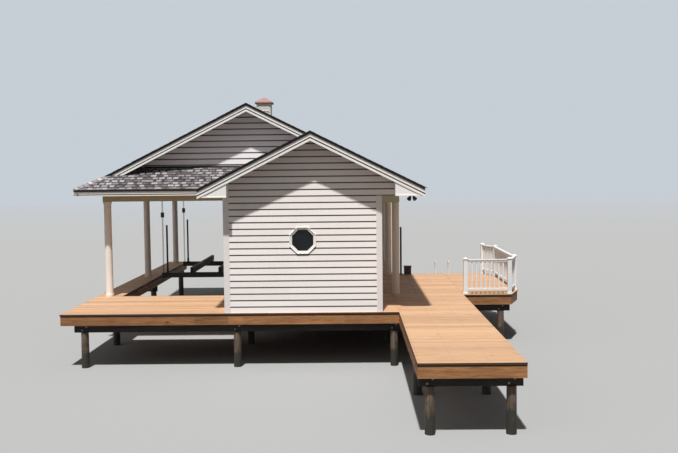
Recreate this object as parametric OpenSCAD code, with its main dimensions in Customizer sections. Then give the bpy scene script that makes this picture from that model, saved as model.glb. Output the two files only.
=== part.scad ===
// Boathouse on piles: a gabled room beside a roofed boat slip with a cable lift.
// Round them are decks, a walkway to the shore and a railed landing.
// Millimetres. +Z is up, +Y runs from the shore end to the open water, +X to the right seen from the shore.
// The origin is the middle of the whole outline, level with the feet of the piles.

/* [Decks] */
// Height of the deck's top above the feet of the piles
deck_h = 1300; // [1100:50:1900]
// Thickness of the deck boards
board_t = 38; // [25:1:50]
// Height of the rim boards and joists under the boards
rim_h = 235; // [180:5:300]
// Thickness of the rim boards and joists
rim_t = 38; // [30:1:60]
// Spacing of the joists
joist_gap = 610; // [400:10:900]
// Height of the girders on the piles
girder_h = 184; // [140:2:240]
// Thickness of the girders
girder_t = 76; // [50:2:120]
// How far the deck boards stand out past the rim
board_lip = 15; // [5:1:30]
// Depth of the front deck, from its front edge to the slip
front_deck_d = 3050; // [2800:10:3400]
// How far the front deck stands out in front of the room
deck_lead = 50; // [20:5:150]
// How far the decks stand out past the left posts
left_deck_out = 330; // [250:10:450]
// Width of the finger pier beside the slip
finger_w = 680; // [600:10:900]
// Distance of the boat slip from the room's left side
slip_off = 170; // [120:10:400]
// Gap between neighbouring deck frames
frame_gap = 2; // [1:1:6]

/* [Walkway and landing] */
// Width of the walkway to the shore and of the open dock behind it
walk_w = 1870; // [1500:10:2300]
// Length of the walkway in front of the front deck
walk_l = 5490; // [3000:10:8000]
// Gap between the room and the walkway
walk_off = 400; // [390:10:500]
// Length of the open dock behind the front deck
side_dock_l = 4630; // [4000:10:5200]
// How far the landing stands out to the right of the dock
landing_w = 1590; // [1200:10:2000]
// How far the landing reaches in front of the slip
landing_lead = 270; // [150:10:600]
// Cut of the landing's corners, along its width
landing_cut_w = 320; // [200:10:600]
// Cut of the landing's corners, along its length
landing_cut_l = 850; // [500:10:1200]

/* [Piles] */
// Diameter of the piles
pile_d = 200; // [160:5:260]
// Distance of the front piles from the front of the room
pile_front_y = 150; // [130:5:260]
// Distance of the other rows of piles in front of the posts
pile_row_in = 150; // [120:5:200]
// Distance of the left piles from the left posts
pile_left_in = 200; // [150:5:220]
// Distance of the middle piles from the slip's right edge
pile_mid_in = 420; // [300:10:600]
// Distance of the right piles from the walkway
pile_right_in = 110; // [100:5:200]
// Distance of the dock piles from the dock's right edge
pile_dock_in = 230; // [180:5:300]
// Distance of the landing's piles from its right edge
pile_land_in = 590; // [500:10:700]
// Distance of the walkway's middle piles from the front deck
pile_walk_y = 2520; // [2000:10:3000]
// Distance of the shore piles from the walkway's end
pile_shore_in = 250; // [200:10:400]
// How far the girders run past the outer piles
girder_out = 240; // [150:10:300]
// Distance of the other girders' ends from the edges of the decks
girder_in = 30; // [20:5:45]

/* [Room] */
// Width of the room
room_w = 3660; // [3400:10:3900]
// How far the room's back wall stays in front of the slip
room_back_in = 0; // [0:10:400]
// Thickness of the walls
wall_t = 120; // [90:5:160]
// Height of the ceilings and soffits above the deck
ceiling_h = 2720; // [2600:10:2800]
// Thickness of the ceiling and soffit boards
ceiling_t = 12; // [9:1:20]
// Width of the window trim across its flats
window_w = 620; // [500:10:700]
// Width of the window glass across its flats
glass_w = 510; // [400:10:520]
// Thickness of the window's lining
lining_t = 18; // [10:1:30]
// Distance of the window from the room's left corner
window_x = 1830; // [1500:10:2200]
// Height of the window's centre above the deck
window_h = 1690; // [1400:10:1900]
// Thickness of the window glass
glass_t = 6; // [4:1:10]
// Width of the door
door_w = 860; // [760:10:960]
// Height of the door
door_h = 2030; // [1950:10:2100]
// Thickness of the door leaf
door_t = 44; // [35:1:60]
// Distance of the door from the front of the room
door_y = 1050; // [700:10:1400]
// Width of the corner boards and casings
trim_w = 115; // [80:5:150]
// Thickness of the corner boards and casings
trim_t = 22; // [15:1:30]
// Gap between the corner boards and the beams over them
trim_gap = 1; // [1:1:5]
// Gap between the roof's slabs and what seats on or under their slopes
roof_seat = 0.3; // [0.1:0.1:0.8]

/* [Posts and beams] */
// Diameter of the round roof posts, and width of the beams on them
post_w = 200; // [150:5:240]
// How far the posts' bases and caps stand out round them
post_base_out = 12; // [5:1:30]
// Height of the posts' bases and caps
post_base_h = 80; // [40:5:140]
// Distance of the first row of posts behind the edge of the slip
row_off = 50; // [0:5:200]
// Spacing of the rows of posts
bay = 4450; // [4000:10:4500]
// Distance of the left posts from the left eave
left_post_in = 680; // [600:10:760]
// Distance of the right posts from the room
right_post_off = 490; // [460:10:520]
// Height of the beams' underside above the deck
beam_low = 2550; // [2450:10:2600]
// Height of the side beams
beam_h = 290; // [240:5:320]
// Thickness of the narrow beams in front of the porch
porch_beam_t = 90; // [60:5:120]
// How far the porch beams stand past the inner faces of the right posts
porch_lap = 30; // [20:5:60]
// How far the decks run past the last posts
stern_out = 250; // [200:10:400]

/* [Roof] */
// Height of the eaves above the deck, at the top of the roof covering
eave_h = 2900; // [2860:10:2960]
// Angle of the roof's slopes, in degrees
pitch = 26.565; // [23:0.005:30]
// Thickness of the roof
roof_t = 50; // [35:1:70]
// Distance of the right eave from the room
right_eave_off = 990; // [900:10:1100]
// Half the width of the main roof
main_half = 4450; // [4400:10:4600]
// Half the width of the front gable roof
front_half = 2600; // [2550:10:2650]
// How far the eaves stand out past the posts
eave_out = 620; // [500:10:700]
// Depth of the skirt roofs under the main gables
skirt_d = 1110; // [1000:10:1200]
// How far the roof stands out past the main gable walls
rake_out = 440; // [350:10:500]
// How far the front gable roof stands out past the room
front_rake_out = 430; // [350:10:520]
// Thickness of the gable walls above the ceiling
gable_t = 100; // [80:5:140]
// Height of the fascia boards and rake boards
fascia_h = 134; // [110:2:150]
// Thickness of the fascia boards and rake boards
fascia_t = 25; // [18:1:35]
// How far the roof covering stands out past the fascia boards
drip = 12; // [6:1:25]
// How far the left boxed end of the front eaves runs past the corner of the room
return_lap = 125; // [60:5:200]
// Distance of the right boxed end of the front eaves from the room
return_off = 315; // [200:5:500]
// Width of the ridge caps on each slope
cap_w = 150; // [100:5:200]
// Thickness of the ridge caps
cap_t = 10; // [6:1:16]

/* [Cupola] */
// Width of the cupola's body
cupola_w = 430; // [350:10:480]
// Width of the cupola's roof
cupola_roof_w = 560; // [500:10:720]
// Height of the cupola's eaves above the ridge
cupola_h = 440; // [280:10:500]
// Height of the cupola's roof
cupola_roof_h = 155; // [120:5:240]
// Thickness of the cupola's eaves
cupola_eave_t = 35; // [20:1:50]
// Distance of the cupola behind the middle posts
cupola_back = 550; // [0:10:900]

/* [Boat lift] */
// Height of the lift's cross beams
lift_beam_h = 160; // [120:5:200]
// Width of the lift's cross beams
lift_beam_w = 100; // [80:5:140]
// Thickness of the cross beams' webs and flanges
lift_beam_t = 8; // [6:1:12]
// How far the cross beams' tops stand above the deck
lift_beam_up = 100; // [60:5:140]
// Gap between the ends of the cross beams and the slip's sides
lift_gap = 40; // [30:5:60]
// Distance of the first cross beam behind the middle posts
lift_front = 250; // [0:10:500]
// Distance of the last cross beam in front of the last posts
lift_back = 650; // [600:10:900]
// Spacing of the bunks
bunk_gap = 900; // [700:10:1200]
// Width of the bunks
bunk_w = 100; // [80:5:140]
// Height of the bunks
bunk_h = 200; // [150:5:240]
// How far the bunks run past the cross beams
bunk_out = 350; // [200:10:500]
// Diameter of the guide poles
guide_d = 60; // [50:1:90]
// Height of the guide poles' tops above the deck
guide_top = 1640; // [1400:10:1800]
// Distance of the guide poles from the ends of the cross beams
guide_in = 190; // [150:5:240]
// Diameter of the hoist cables
cable_d = 12; // [8:1:16]
// Distance of the cables from the ends of the cross beams
cable_in = 45; // [35:1:60]
// Height of the cable blocks' underside above the deck
block_low = 1890; // [1700:10:2000]
// Height of the cable blocks
block_h = 160; // [120:5:200]
// Width of the cable blocks
block_w = 70; // [50:5:90]
// Diameter of the winding shafts
shaft_d = 60; // [48:1:80]
// Diameter of the winding drums
drum_d = 100; // [90:5:130]
// Length of the winding drums
drum_l = 240; // [160:10:320]
// Distance of the winding shafts below the ceiling
shaft_drop = 110; // [90:5:140]
// How far the winding shafts run past the cross beams
shaft_out = 400; // [300:10:500]
// Distance of the shafts' bearings from the cross beams
bearing_out = 300; // [220:10:380]
// Thickness of the bearings
bearing_t = 60; // [40:5:80]

/* [Railing] */
// Height of the rail posts above the deck, without their caps
rail_post_h = 930; // [850:10:1050]
// Width of the rail posts
rail_post_w = 110; // [90:5:130]
// Distance of the rail posts' centres from the edge of the landing
rail_in = 90; // [80:5:120]
// Distance of the first rail post's centre from the dock
rail_first = 60; // [60:5:120]
// How far the posts' caps stand out
rail_cap_out = 15; // [5:1:25]
// Thickness of the posts' caps
rail_cap_t = 25; // [15:1:40]
// Height of the top rail's upper face above the deck
rail_h = 900; // [800:10:950]
// Height of the bottom rail's underside above the deck
rail_low = 110; // [80:5:150]
// Width of the rails
rail_w = 60; // [45:5:80]
// Thickness of the rails
rail_t = 45; // [35:1:60]
// Width of the balusters
baluster_w = 36; // [30:1:45]
// Spacing of the balusters
baluster_gap = 118; // [100:1:130]

/* [Fittings] */
// Diameter of the mooring pole
mooring_d = 60; // [50:1:80]
// Height of the mooring pole above the deck
mooring_h = 1520; // [1300:10:1700]
// Distance of the mooring pole from the roofed dock
mooring_off = 300; // [200:10:330]
// Distance of the pole and the dock box from the edge of the dock
fitting_in = 90; // [60:5:120]
// Distance of the dock box from the roofed dock
box_off = 400; // [380:10:600]
// Width of the dock box
box_w = 225; // [180:5:300]
// Depth of the dock box
box_d = 150; // [120:5:180]
// Height of the dock box
box_h = 270; // [220:5:320]
// Width of the dock ladder
ladder_w = 420; // [380:10:500]
// Distance of the ladder from the landing
ladder_off = 270; // [200:10:320]
// Height of the ladder's hoops above the deck
ladder_up = 400; // [300:10:500]
// Depth of the ladder below the deck
ladder_down = 1150; // [900:10:1250]
// Distance of the ladder from the edge of the dock
ladder_out = 60; // [50:5:100]
// How far the ladder's hoops reach over the dock
hoop_in = 160; // [120:5:240]
// Diameter of the ladder's rails
ladder_d = 38; // [30:1:45]
// Spacing of the rungs
rung_gap = 280; // [250:5:320]
// Thickness of the rungs
rung_t = 30; // [24:1:36]
// Width of the floodlight
lamp_w = 160; // [120:5:200]
// Height of the floodlight's head
lamp_h = 90; // [70:5:120]
// Height of the floodlight's foot
lamp_foot = 40; // [25:5:60]
// Distance of the floodlight from the right eave
lamp_in = 260; // [200:10:400]
// Distance of the floodlight behind the front of the room
lamp_y = 200; // [150:10:400]

/* [Hidden] */

// Colours of the finishes
cream = [0.93, 0.91, 0.86];
pine = [0.87, 0.72, 0.50];
rim_brown = [0.50, 0.36, 0.22];
wet_wood = [0.22, 0.17, 0.13];
shingle = [0.42, 0.39, 0.37];
steel = [0.27, 0.24, 0.22];
black = [0.08, 0.08, 0.08];
white = [0.96, 0.96, 0.95];

// Plan of the decks, with x from the room's left corner and y from its front
x_slip_right = -slip_off;
x_walk = room_w + walk_off;
x_dock = x_walk + walk_w;
x_landing = x_dock + landing_w;
y_deck = -deck_lead;
y_slip = front_deck_d - deck_lead;
room_d = y_slip - room_back_in;
y_shore = y_deck - walk_l;
y_dock = y_slip + side_dock_l;

// Rows and lines of posts
y_row = [for (i = [0 : 2]) y_slip + row_off + i * bay];
x_post_right = room_w + right_post_off;
y_stern = y_row[2] + post_w / 2 + stern_out;
x_stern = x_post_right + post_w / 2;
x_porch = x_post_right - post_w / 2 + porch_lap;
y_cupola = y_row[1] + cupola_back;

// Levels
z_deck = deck_h;
z_board = z_deck - board_t;
z_rim = z_board - rim_h;
z_girder = z_rim - girder_h;
z_beam = z_deck + beam_low;
z_ceiling = z_deck + ceiling_h;
z_eave = z_deck + eave_h;

// Roof planes
slope = tan(pitch);
roof_v = roof_t / cos(pitch);
roof_drop = roof_v + roof_seat;
x_eave_right = room_w + right_eave_off;
x_ridge = x_eave_right - main_half;
x_eave_left = x_ridge - main_half;
x_post_left = x_eave_left + left_post_in;
x_deck_left = x_post_left - left_deck_out;
x_slip_left = x_deck_left + finger_w;
x_front_ridge = x_eave_right - front_half;
x_front_eave = x_front_ridge - front_half;
y_front_rake = -front_rake_out;
y_eave = y_row[0] - post_w / 2 - eave_out;
y_gable = y_eave + skirt_d;
y_rake = y_gable - rake_out;
y_eave_rear = y_row[2] + post_w / 2 + eave_out;
y_gable_rear = y_eave_rear - skirt_d;
y_rake_rear = y_gable_rear + rake_out;
z_ridge = z_eave + slope * main_half;
z_fascia = z_eave - roof_v - fascia_h;
// Sideways room that two crossing slabs need to clear each other
slab_clear = 2 * roof_v;
return_y = y_front_rake + drip + fascia_t;

// Whole outline
mid_x = (min(x_eave_left, x_deck_left) + max(x_landing, x_eave_right)) / 2;
mid_y = (y_shore + y_eave_rear) / 2;

// Piles under the decks: [x, y] of each centre
x_pile_left = x_post_left + pile_left_in;
x_pile_mid = x_slip_right + pile_mid_in;
x_pile_right = x_walk - pile_right_in;
x_pile_dock = x_dock - pile_dock_in;
x_pile_land = x_landing - pile_land_in;
y_pile = concat([pile_front_y], [for (y = y_row) y - pile_row_in]);
y_bent = [y_deck - pile_walk_y, y_shore + pile_shore_in];
pile_spots = concat(
  [for (x = [x_pile_left, x_pile_mid, x_pile_right], y = y_pile) [x, y]],
  [for (i = [0 : 2]) [x_pile_dock, y_pile[i]]],
  [for (y = [y_pile[1], y_pile[2]]) [x_pile_land, y]],
  [for (x = [x_walk + pile_dock_in, x_pile_dock], y = y_bent) [x, y]]);

// Lift
x_lift = [x_slip_left + lift_gap, x_slip_right - lift_gap];
y_lift = [y_row[1] + lift_front, y_row[2] - lift_back];
z_lift = z_deck + lift_beam_up;
z_shaft = z_ceiling - shaft_drop;

// Landing outline and rail posts
y_landing = y_slip - landing_lead;
landing = [[x_dock, y_landing], [x_landing - landing_cut_w, y_landing],
  [x_landing, y_landing + landing_cut_l], [x_landing, y_dock - landing_cut_l],
  [x_landing - landing_cut_w, y_dock], [x_dock, y_dock]];
rail_spots = [[landing[0][0] + rail_first, landing[0][1] + rail_in],
  [landing[1][0] - rail_in / 2, landing[1][1] + rail_in],
  [landing[2][0] - rail_in, landing[2][1] + rail_in / 4],
  [landing[3][0] - rail_in, landing[3][1] - rail_in / 4],
  [landing[4][0] - rail_in / 2, landing[4][1] - rail_in]];

// Puts the plan's corner where the whole outline is centred
module place() {
  translate([-mid_x, -mid_y, 0]) children();
}

// A block between two corners
module block(low, high) {
  translate(low) cube(high - low);
}

// A plate of a plan outline between two levels
module plate(points, z0, z1) {
  translate([0, 0, z0]) linear_extrude(z1 - z0) polygon(points);
}

// An outline drawn in X and Z, set upright from y0 to y1
module upright(points, y0, y1) {
  translate([0, y1, 0]) rotate([90, 0, 0]) linear_extrude(y1 - y0) polygon(points);
}

function octagon_r(across) = across / 2 / cos(22.5);

// An octagon across its flats, set upright from y0 to y1
module octagon(across, y0, y1) {
  translate([window_x, y1, z_deck + window_h]) rotate([90, 0, 0])
    linear_extrude(y1 - y0) rotate(22.5) circle(r = octagon_r(across), $fn = 8);
}

// Piles, and girders across them
module piles() {
  color(wet_wood) place() for (p = pile_spots)
    translate([p[0], p[1], 0]) cylinder(d = pile_d, h = z_girder, $fn = 24);
}

module girder(x0, x1, y) {
  block([x0, y - girder_t / 2, z_girder], [x1, y + girder_t / 2, z_rim]);
}

module girders() {
  x0 = x_pile_left - girder_out;
  x1 = x_pile_land + girder_out;
  color(wet_wood) place() {
    girder(x0, x_dock - girder_in, y_pile[0]);
    girder(x0, x1, y_pile[1]);
    girder(x_slip_right + girder_in, x1, y_pile[2]);
    girder(x_slip_right + girder_in, x_stern - girder_in, y_pile[3]);
    for (y = [y_pile[2], y_pile[3]]) girder(x_deck_left + girder_in, x_slip_left - girder_in, y);
    for (y = y_bent) girder(x_walk + girder_in, x_dock - girder_in, y);
  }
}

// A frame of rim boards and joists that run along Y
module deck_frame(x0, y0, x1, y1) {
  bays = max(1, round((x1 - x0 - rim_t) / joist_gap));
  step = (x1 - x0 - rim_t) / bays;
  difference() {
    block([x0, y0, z_rim], [x1, y1, z_board]);
    for (i = [0 : bays - 1])
      block([x0 + i * step + rim_t, y0 + rim_t, z_rim - 1], [x0 + (i + 1) * step, y1 - rim_t, z_board + 1]);
  }
}

// Outline of the landing, moved inwards by d on its outer sides
function landing_line(d, x0) = [[x0, landing[0][1] + d], [landing[1][0] - d / 2, landing[1][1] + d],
  [landing[2][0] - d, landing[2][1] + d / 4], [landing[3][0] - d, landing[3][1] - d / 4],
  [landing[4][0] - d / 2, landing[4][1] - d], [x0, landing[5][1] - d]];

// The landing's frame follows its cut corners
module landing_frame() {
  x0 = x_dock + frame_gap;
  lip = board_lip;
  difference() {
    plate(landing_line(lip, x0), z_rim, z_board);
    intersection() {
      plate(landing_line(lip + rim_t, x0 + rim_t), z_rim - 1, z_board + 1);
      for (x = [x0 + rim_t : joist_gap : x_landing])
        block([x, landing[0][1], z_rim - 2], [x + joist_gap - rim_t, landing[5][1], z_board + 2]);
    }
  }
}

module deck_frames() {
  g = frame_gap;
  lip = board_lip;
  color(rim_brown) place() {
    deck_frame(x_deck_left + lip, y_deck + lip, x_walk - g, y_slip - lip);
    deck_frame(x_deck_left + lip, y_slip - lip + g, x_slip_left - lip, y_stern - lip);
    deck_frame(x_slip_right + lip, y_slip - lip + g, x_stern - lip, y_stern - lip);
    deck_frame(x_walk, y_shore + lip, x_dock - g, y_slip - lip);
    deck_frame(x_stern - lip + g, y_slip - lip + g, x_dock - g, y_dock - lip);
    landing_frame();
  }
}

// Deck boards, as one sheet for each stretch
module deck(x0, y0, x1, y1) {
  color(pine) place() block([x0, y0, z_board], [x1, y1, z_deck]);
}

module front_deck() { deck(x_deck_left, y_deck, x_walk, y_slip); }
module finger_deck() { deck(x_deck_left, y_slip, x_slip_left, y_stern); }
module dock_deck() { deck(x_slip_right, y_slip, x_dock, y_dock); }
module stern_deck() { deck(x_slip_right, y_dock, x_stern, y_stern); }
module walkway_deck() { deck(x_walk, y_shore, x_dock, y_slip); }
module landing_deck() { color(pine) place() plate(landing, z_board, z_deck); }

// Round posts and the beams that carry the roof
module roof_posts() {
  h = z_beam - z_deck;
  wide = post_w + 2 * post_base_out;
  color(cream) place() for (x = [x_post_left, x_post_right], y = y_row) translate([x, y, z_deck]) {
    cylinder(d = post_w, h = h, $fn = 48);
    cylinder(d = wide, h = post_base_h, $fn = 48);
    translate([0, 0, h - post_base_h]) cylinder(d = wide, h = post_base_h, $fn = 48);
  }
}

module side_beams() {
  color(cream) place() for (x = [x_post_left, x_post_right])
    block([x - post_w / 2, y_row[0] - post_w / 2, z_beam],
      [x + post_w / 2, y_row[2] + post_w / 2, z_beam + beam_h]);
}

module header_beams() {
  x0 = x_post_left + post_w / 2;
  x1 = x_post_right - post_w / 2;
  color(cream) place() {
    block([x0, y_row[0] - post_w / 2, z_beam], [0, y_row[0] + post_w / 2, z_ceiling]);
    block([x0, y_row[2] - post_w / 2, z_beam], [x1, y_row[2] + post_w / 2, z_ceiling]);
    block([room_w, 0, z_beam], [x_porch, porch_beam_t, z_ceiling]);
    block([x_porch - porch_beam_t, porch_beam_t, z_beam], [x_porch, y_row[0] - post_w / 2, z_ceiling]);
  }
}

// Height of the underside of the roof over a place on the front gable or the main roof
function under_front(x) = z_eave - roof_drop
  + slope * min(x - x_front_eave, x_eave_right - x);
function under_main(x) = z_eave - roof_drop + slope * min(x - x_eave_left, x_eave_right - x);

// Room
module front_wall() {
  outline = [[0, z_deck], [room_w, z_deck], [room_w, z_ceiling], [x_porch, z_ceiling],
    [x_porch, under_front(x_porch)], [x_front_ridge, under_front(x_front_ridge)], [0, under_front(0)]];
  color(cream) place() difference() {
    upright(outline, 0, wall_t);
    octagon(glass_w + 2 * lining_t, -1, wall_t + 1);
  }
}

module side_walls() {
  color(cream) place() {
    block([0, wall_t, z_deck], [wall_t, room_d - wall_t, z_ceiling]);
    difference() {
      block([room_w - wall_t, wall_t, z_deck], [room_w, room_d - wall_t, z_ceiling]);
      block([room_w - wall_t - 1, door_y, z_deck - 1], [room_w + 1, door_y + door_w, z_deck + door_h]);
    }
  }
}

module back_wall() {
  color(cream) place() block([0, room_d - wall_t, z_deck], [room_w, room_d, z_ceiling]);
}

// An L of two boards round a corner of the room. dx and dy point along its walls.
// The first board runs along X.
module corner_board(x, y, dx, dy, top_x, top_y) {
  plate([[x - dx * trim_t, y - dy * trim_t], [x + dx * trim_w, y - dy * trim_t],
    [x + dx * trim_w, y], [x - dx * trim_t, y]], z_deck, top_x);
  plate([[x - dx * trim_t, y], [x, y], [x, y + dy * trim_w], [x - dx * trim_t, y + dy * trim_w]],
    z_deck, top_y);
}

module corner_boards() {
  low = z_beam - trim_gap;
  color(white) place() {
    corner_board(0, 0, 1, 1, z_fascia, z_fascia);
    corner_board(room_w, 0, -1, 1, z_fascia, low);
    corner_board(room_w, room_d, -1, -1, low, low);
    corner_board(0, room_d, 1, -1, low, low);
  }
}

module window_trim() {
  color(white) place() difference() {
    union() {
      octagon(window_w, -trim_t, 0);
      octagon(glass_w + 2 * lining_t, 0, wall_t);
    }
    octagon(glass_w, -trim_t - 1, wall_t + 1);
  }
}

module window_glass() {
  color([0.10, 0.12, 0.14]) place() octagon(glass_w, trim_t, trim_t + glass_t);
}

module room_door() {
  color(white) place() {
    block([room_w - wall_t, door_y, z_deck], [room_w - wall_t + door_t, door_y + door_w, z_deck + door_h]);
    difference() {
      block([room_w - wall_t + door_t, door_y, z_deck], [room_w + trim_t, door_y + door_w, z_deck + door_h]);
      block([room_w - wall_t + door_t, door_y + trim_t, z_deck - 1],
        [room_w + trim_t + 1, door_y + door_w - trim_t, z_deck + door_h - trim_t]);
    }
    difference() {
      block([room_w, door_y - trim_w, z_deck],
        [room_w + trim_t, door_y + door_w + trim_w, z_deck + door_h + trim_w]);
      block([room_w - 1, door_y, z_deck - 1], [room_w + trim_t + 1, door_y + door_w, z_deck + door_h]);
    }
  }
}

// Gable walls over the main roof's ends
module gable_walls() {
  x0 = x_post_left + post_w / 2;
  x1 = x_post_right - post_w / 2;
  z0 = z_ceiling + ceiling_t;
  outline = [[x0, z0], [x1, z0], [x1, under_main(x1)], [x_ridge, under_main(x_ridge)], [x0, under_main(x0)]];
  color(cream) place() {
    upright(outline, y_gable, y_gable + gable_t);
    upright(outline, y_gable_rear - gable_t, y_gable_rear);
  }
}

// Ceiling over the room, the slip and the dock
module ceiling() {
  x0 = x_post_left + post_w / 2;
  x1 = x_post_right - post_w / 2;
  y0 = y_row[0] - post_w / 2;
  y1 = y_row[2] + post_w / 2;
  outline = [[0, wall_t], [x1, wall_t], [x1, y1], [x0, y1], [x0, y0], [0, y0]];
  color(cream) place() plate(outline, z_ceiling, z_ceiling + ceiling_t);
}

// Outline of all the eaves, moved inwards by d
function eaves(d) = [[x_front_eave + d, y_front_rake + d], [x_eave_right - d, y_front_rake + d],
  [x_eave_right - d, y_eave_rear - d], [x_eave_left + d, y_eave_rear - d],
  [x_eave_left + d, y_eave + d], [x_front_eave + d, y_eave + d]];

module soffits() {
  x0 = x_post_left - post_w / 2;
  x1 = x_post_right + post_w / 2;
  y0 = y_row[0] - post_w / 2;
  y1 = y_row[2] + post_w / 2;
  inner = [[0, -1], [0, y0], [x0, y0], [x0, y1], [x1, y1], [x1, y0], [x_porch, y0], [x_porch, -1]];
  color(cream) place() translate([0, 0, z_ceiling]) linear_extrude(ceiling_t) difference() {
    polygon(eaves(drip + fascia_t));
    polygon(inner);
    translate([x_eave_left, y_front_rake - 1]) square([2 * main_half, front_rake_out + 1]);
  }
}

// A slab of roof over a plan outline. It rises from a line through the eave, towards `turn` from +X.
module roof_slab(points, at, turn) {
  reach = y_eave_rear - y_front_rake + 2 * main_half;
  spill = 4 * roof_t;
  intersection() {
    plate(points, z_deck, z_ridge + spill);
    translate([at[0], at[1], z_eave]) rotate(turn) rotate([0, -pitch, 0])
      translate([-spill, -reach, -roof_t]) cube([reach, 2 * reach, roof_t]);
  }
}

module roof_right() {
  hip = x_eave_right - (y_eave_rear - y_rake_rear);
  outline = [[x_eave_right, y_front_rake], [x_eave_right, y_eave_rear], [hip, y_rake_rear],
    [x_ridge, y_rake_rear], [x_ridge, y_rake], [x_front_ridge, y_rake], [x_front_ridge, y_front_rake]];
  color(shingle) place() roof_slab(outline, [x_eave_right, 0], 180);
}

module roof_left() {
  hip = x_eave_left + y_rake - y_eave;
  outline = [[x_eave_left, y_eave], [hip, y_rake], [x_ridge, y_rake], [x_ridge, y_rake_rear],
    [hip, y_rake_rear], [x_eave_left, y_eave_rear]];
  color(shingle) place() roof_slab(outline, [x_eave_left, 0], 0);
}

module front_roof_left() {
  outline = [[x_front_eave, y_front_rake], [x_front_ridge, y_front_rake], [x_front_ridge, y_rake],
    [x_front_ridge - slab_clear / 2, y_rake], [x_front_ridge - slab_clear / 2, y_gable],
    [x_front_eave + skirt_d, y_gable], [x_front_eave, y_eave]];
  color(shingle) place() roof_slab(outline, [x_front_eave, 0], 0);
}

module skirt_roofs() {
  run = y_rake - y_eave;
  low = run + slab_clear;
  high = skirt_d + slab_clear;
  front = [[x_eave_left, y_eave], [x_front_eave, y_eave], [x_front_eave + skirt_d, y_gable],
    [x_eave_left + high, y_gable], [x_eave_left + low, y_rake], [x_eave_left + run, y_rake]];
  rear = [[x_eave_left, y_eave_rear], [x_eave_left + run, y_rake_rear], [x_eave_left + low, y_rake_rear],
    [x_eave_left + high, y_gable_rear], [x_eave_right - high, y_gable_rear],
    [x_eave_right - low, y_rake_rear], [x_eave_right - run, y_rake_rear], [x_eave_right, y_eave_rear]];
  color(shingle) place() {
    roof_slab(front, [0, y_eave], 90);
    roof_slab(rear, [0, y_eave_rear], -90);
  }
}

// Folded cap along a ridge
module ridge_cap(x, z, y0, y1) {
  drop = cap_w * slope;
  upright([[x, z], [x + cap_w, z - drop], [x + cap_w, z - drop + cap_t], [x, z + cap_t],
    [x - cap_w, z - drop + cap_t], [x - cap_w, z - drop]], y0, y1);
}

module ridge_caps() {
  color(shingle) place() {
    ridge_cap(x_ridge, z_ridge + roof_seat, y_rake, y_cupola - cupola_w / 2);
    ridge_cap(x_ridge, z_ridge + roof_seat, y_cupola + cupola_w / 2, y_rake_rear);
    ridge_cap(x_front_ridge, z_eave + slope * front_half + roof_seat, y_front_rake, y_rake - cap_t);
  }
}

// Fascia boards under the level eaves, open at the front gable
module eave_fascias() {
  color(white) place() translate([0, 0, z_fascia]) linear_extrude(fascia_h + slope * drip) difference() {
    polygon(eaves(drip));
    polygon(eaves(drip + fascia_t));
    translate([x_front_eave + drip + fascia_t, y_front_rake - 1])
      square([2 * (front_half - drip - fascia_t), drip + fascia_t + 2]);
  }
}

// Places where the underside of the main roof reaches a level
function left_at(z) = x_eave_left + (z - z_eave + roof_drop) / slope;
function right_at(z) = x_eave_right - (z - z_eave + roof_drop) / slope;

module rake_boards() {
  drop = fascia_h / cos(pitch);
  z_front = z_eave + slope * (y_rake + drip + fascia_t - y_eave) + trim_gap;
  z_rear = z_eave + slope * (y_eave_rear - y_rake_rear + drip + fascia_t) + trim_gap;
  x0 = x_front_eave + drip + fascia_t;
  x1 = x_eave_right - drip - fascia_t;
  top = x_front_ridge - roof_v / 2 / slope - trim_gap;
  low = x_front_ridge - (roof_v + drop) / 2 / slope - trim_gap;
  y_main = y_rake + drip;
  y_back = y_rake_rear - drip - fascia_t;
  z_top = under_main(x_ridge);
  color(white) place() {
    upright([[x0, under_front(x0)], [x_front_ridge, under_front(x_front_ridge)], [x1, under_front(x1)],
      [x1, under_front(x1) - drop], [x_front_ridge, under_front(x_front_ridge) - drop],
      [x0, under_front(x0) - drop]], y_front_rake + drip, y_front_rake + drip + fascia_t);
    upright([[left_at(z_front), z_front], [x_ridge, z_top], [top, under_main(top)],
      [low, under_main(low) - drop], [x_ridge, z_top - drop], [left_at(z_front + drop), z_front]],
      y_main, y_main + fascia_t);
    upright([[left_at(z_rear), z_rear], [x_ridge, z_top], [right_at(z_rear), z_rear],
      [right_at(z_rear + drop), z_rear], [x_ridge, z_top - drop], [left_at(z_rear + drop), z_rear]],
      y_back, y_back + fascia_t);
  }
}

// Boxed ends of the front gable's eaves
module eave_returns() {
  x0 = x_front_eave + drip + fascia_t;
  x1 = return_lap;
  x2 = room_w + return_off;
  x3 = x_eave_right - drip - fascia_t;
  color(white) place() {
    upright([[x0, z_fascia], [x1, z_fascia], [x1, under_front(x1)], [x0, under_front(x0)]], return_y, 0);
    upright([[x2, z_fascia], [x3, z_fascia], [x3, under_front(x3)], [x2, under_front(x2)]], return_y, 0);
  }
}

// Cupola astride the main ridge
module cupola_body() {
  y = y_cupola;
  w = cupola_w / 2;
  seat = z_ridge + roof_seat;
  drop = w * slope;
  top = z_ridge + cupola_h - cupola_eave_t;
  color(cream) place()
    upright([[x_ridge - w, seat - drop], [x_ridge, seat], [x_ridge + w, seat - drop],
      [x_ridge + w, top], [x_ridge - w, top]], y - w, y + w);
}

module cupola_roof() {
  y = y_cupola;
  w = cupola_roof_w / 2;
  z0 = z_ridge + cupola_h - cupola_eave_t;
  z1 = z0 + cupola_eave_t;
  outline = [[-w, z0], [w, z0], [w, z1], [0, z1 + cupola_roof_h], [-w, z1]];
  color([0.62, 0.45, 0.40]) place() translate([x_ridge, y, 0]) intersection() {
    upright(outline, -w, w);
    rotate(90) upright(outline, -w, w);
  }
}

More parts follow.
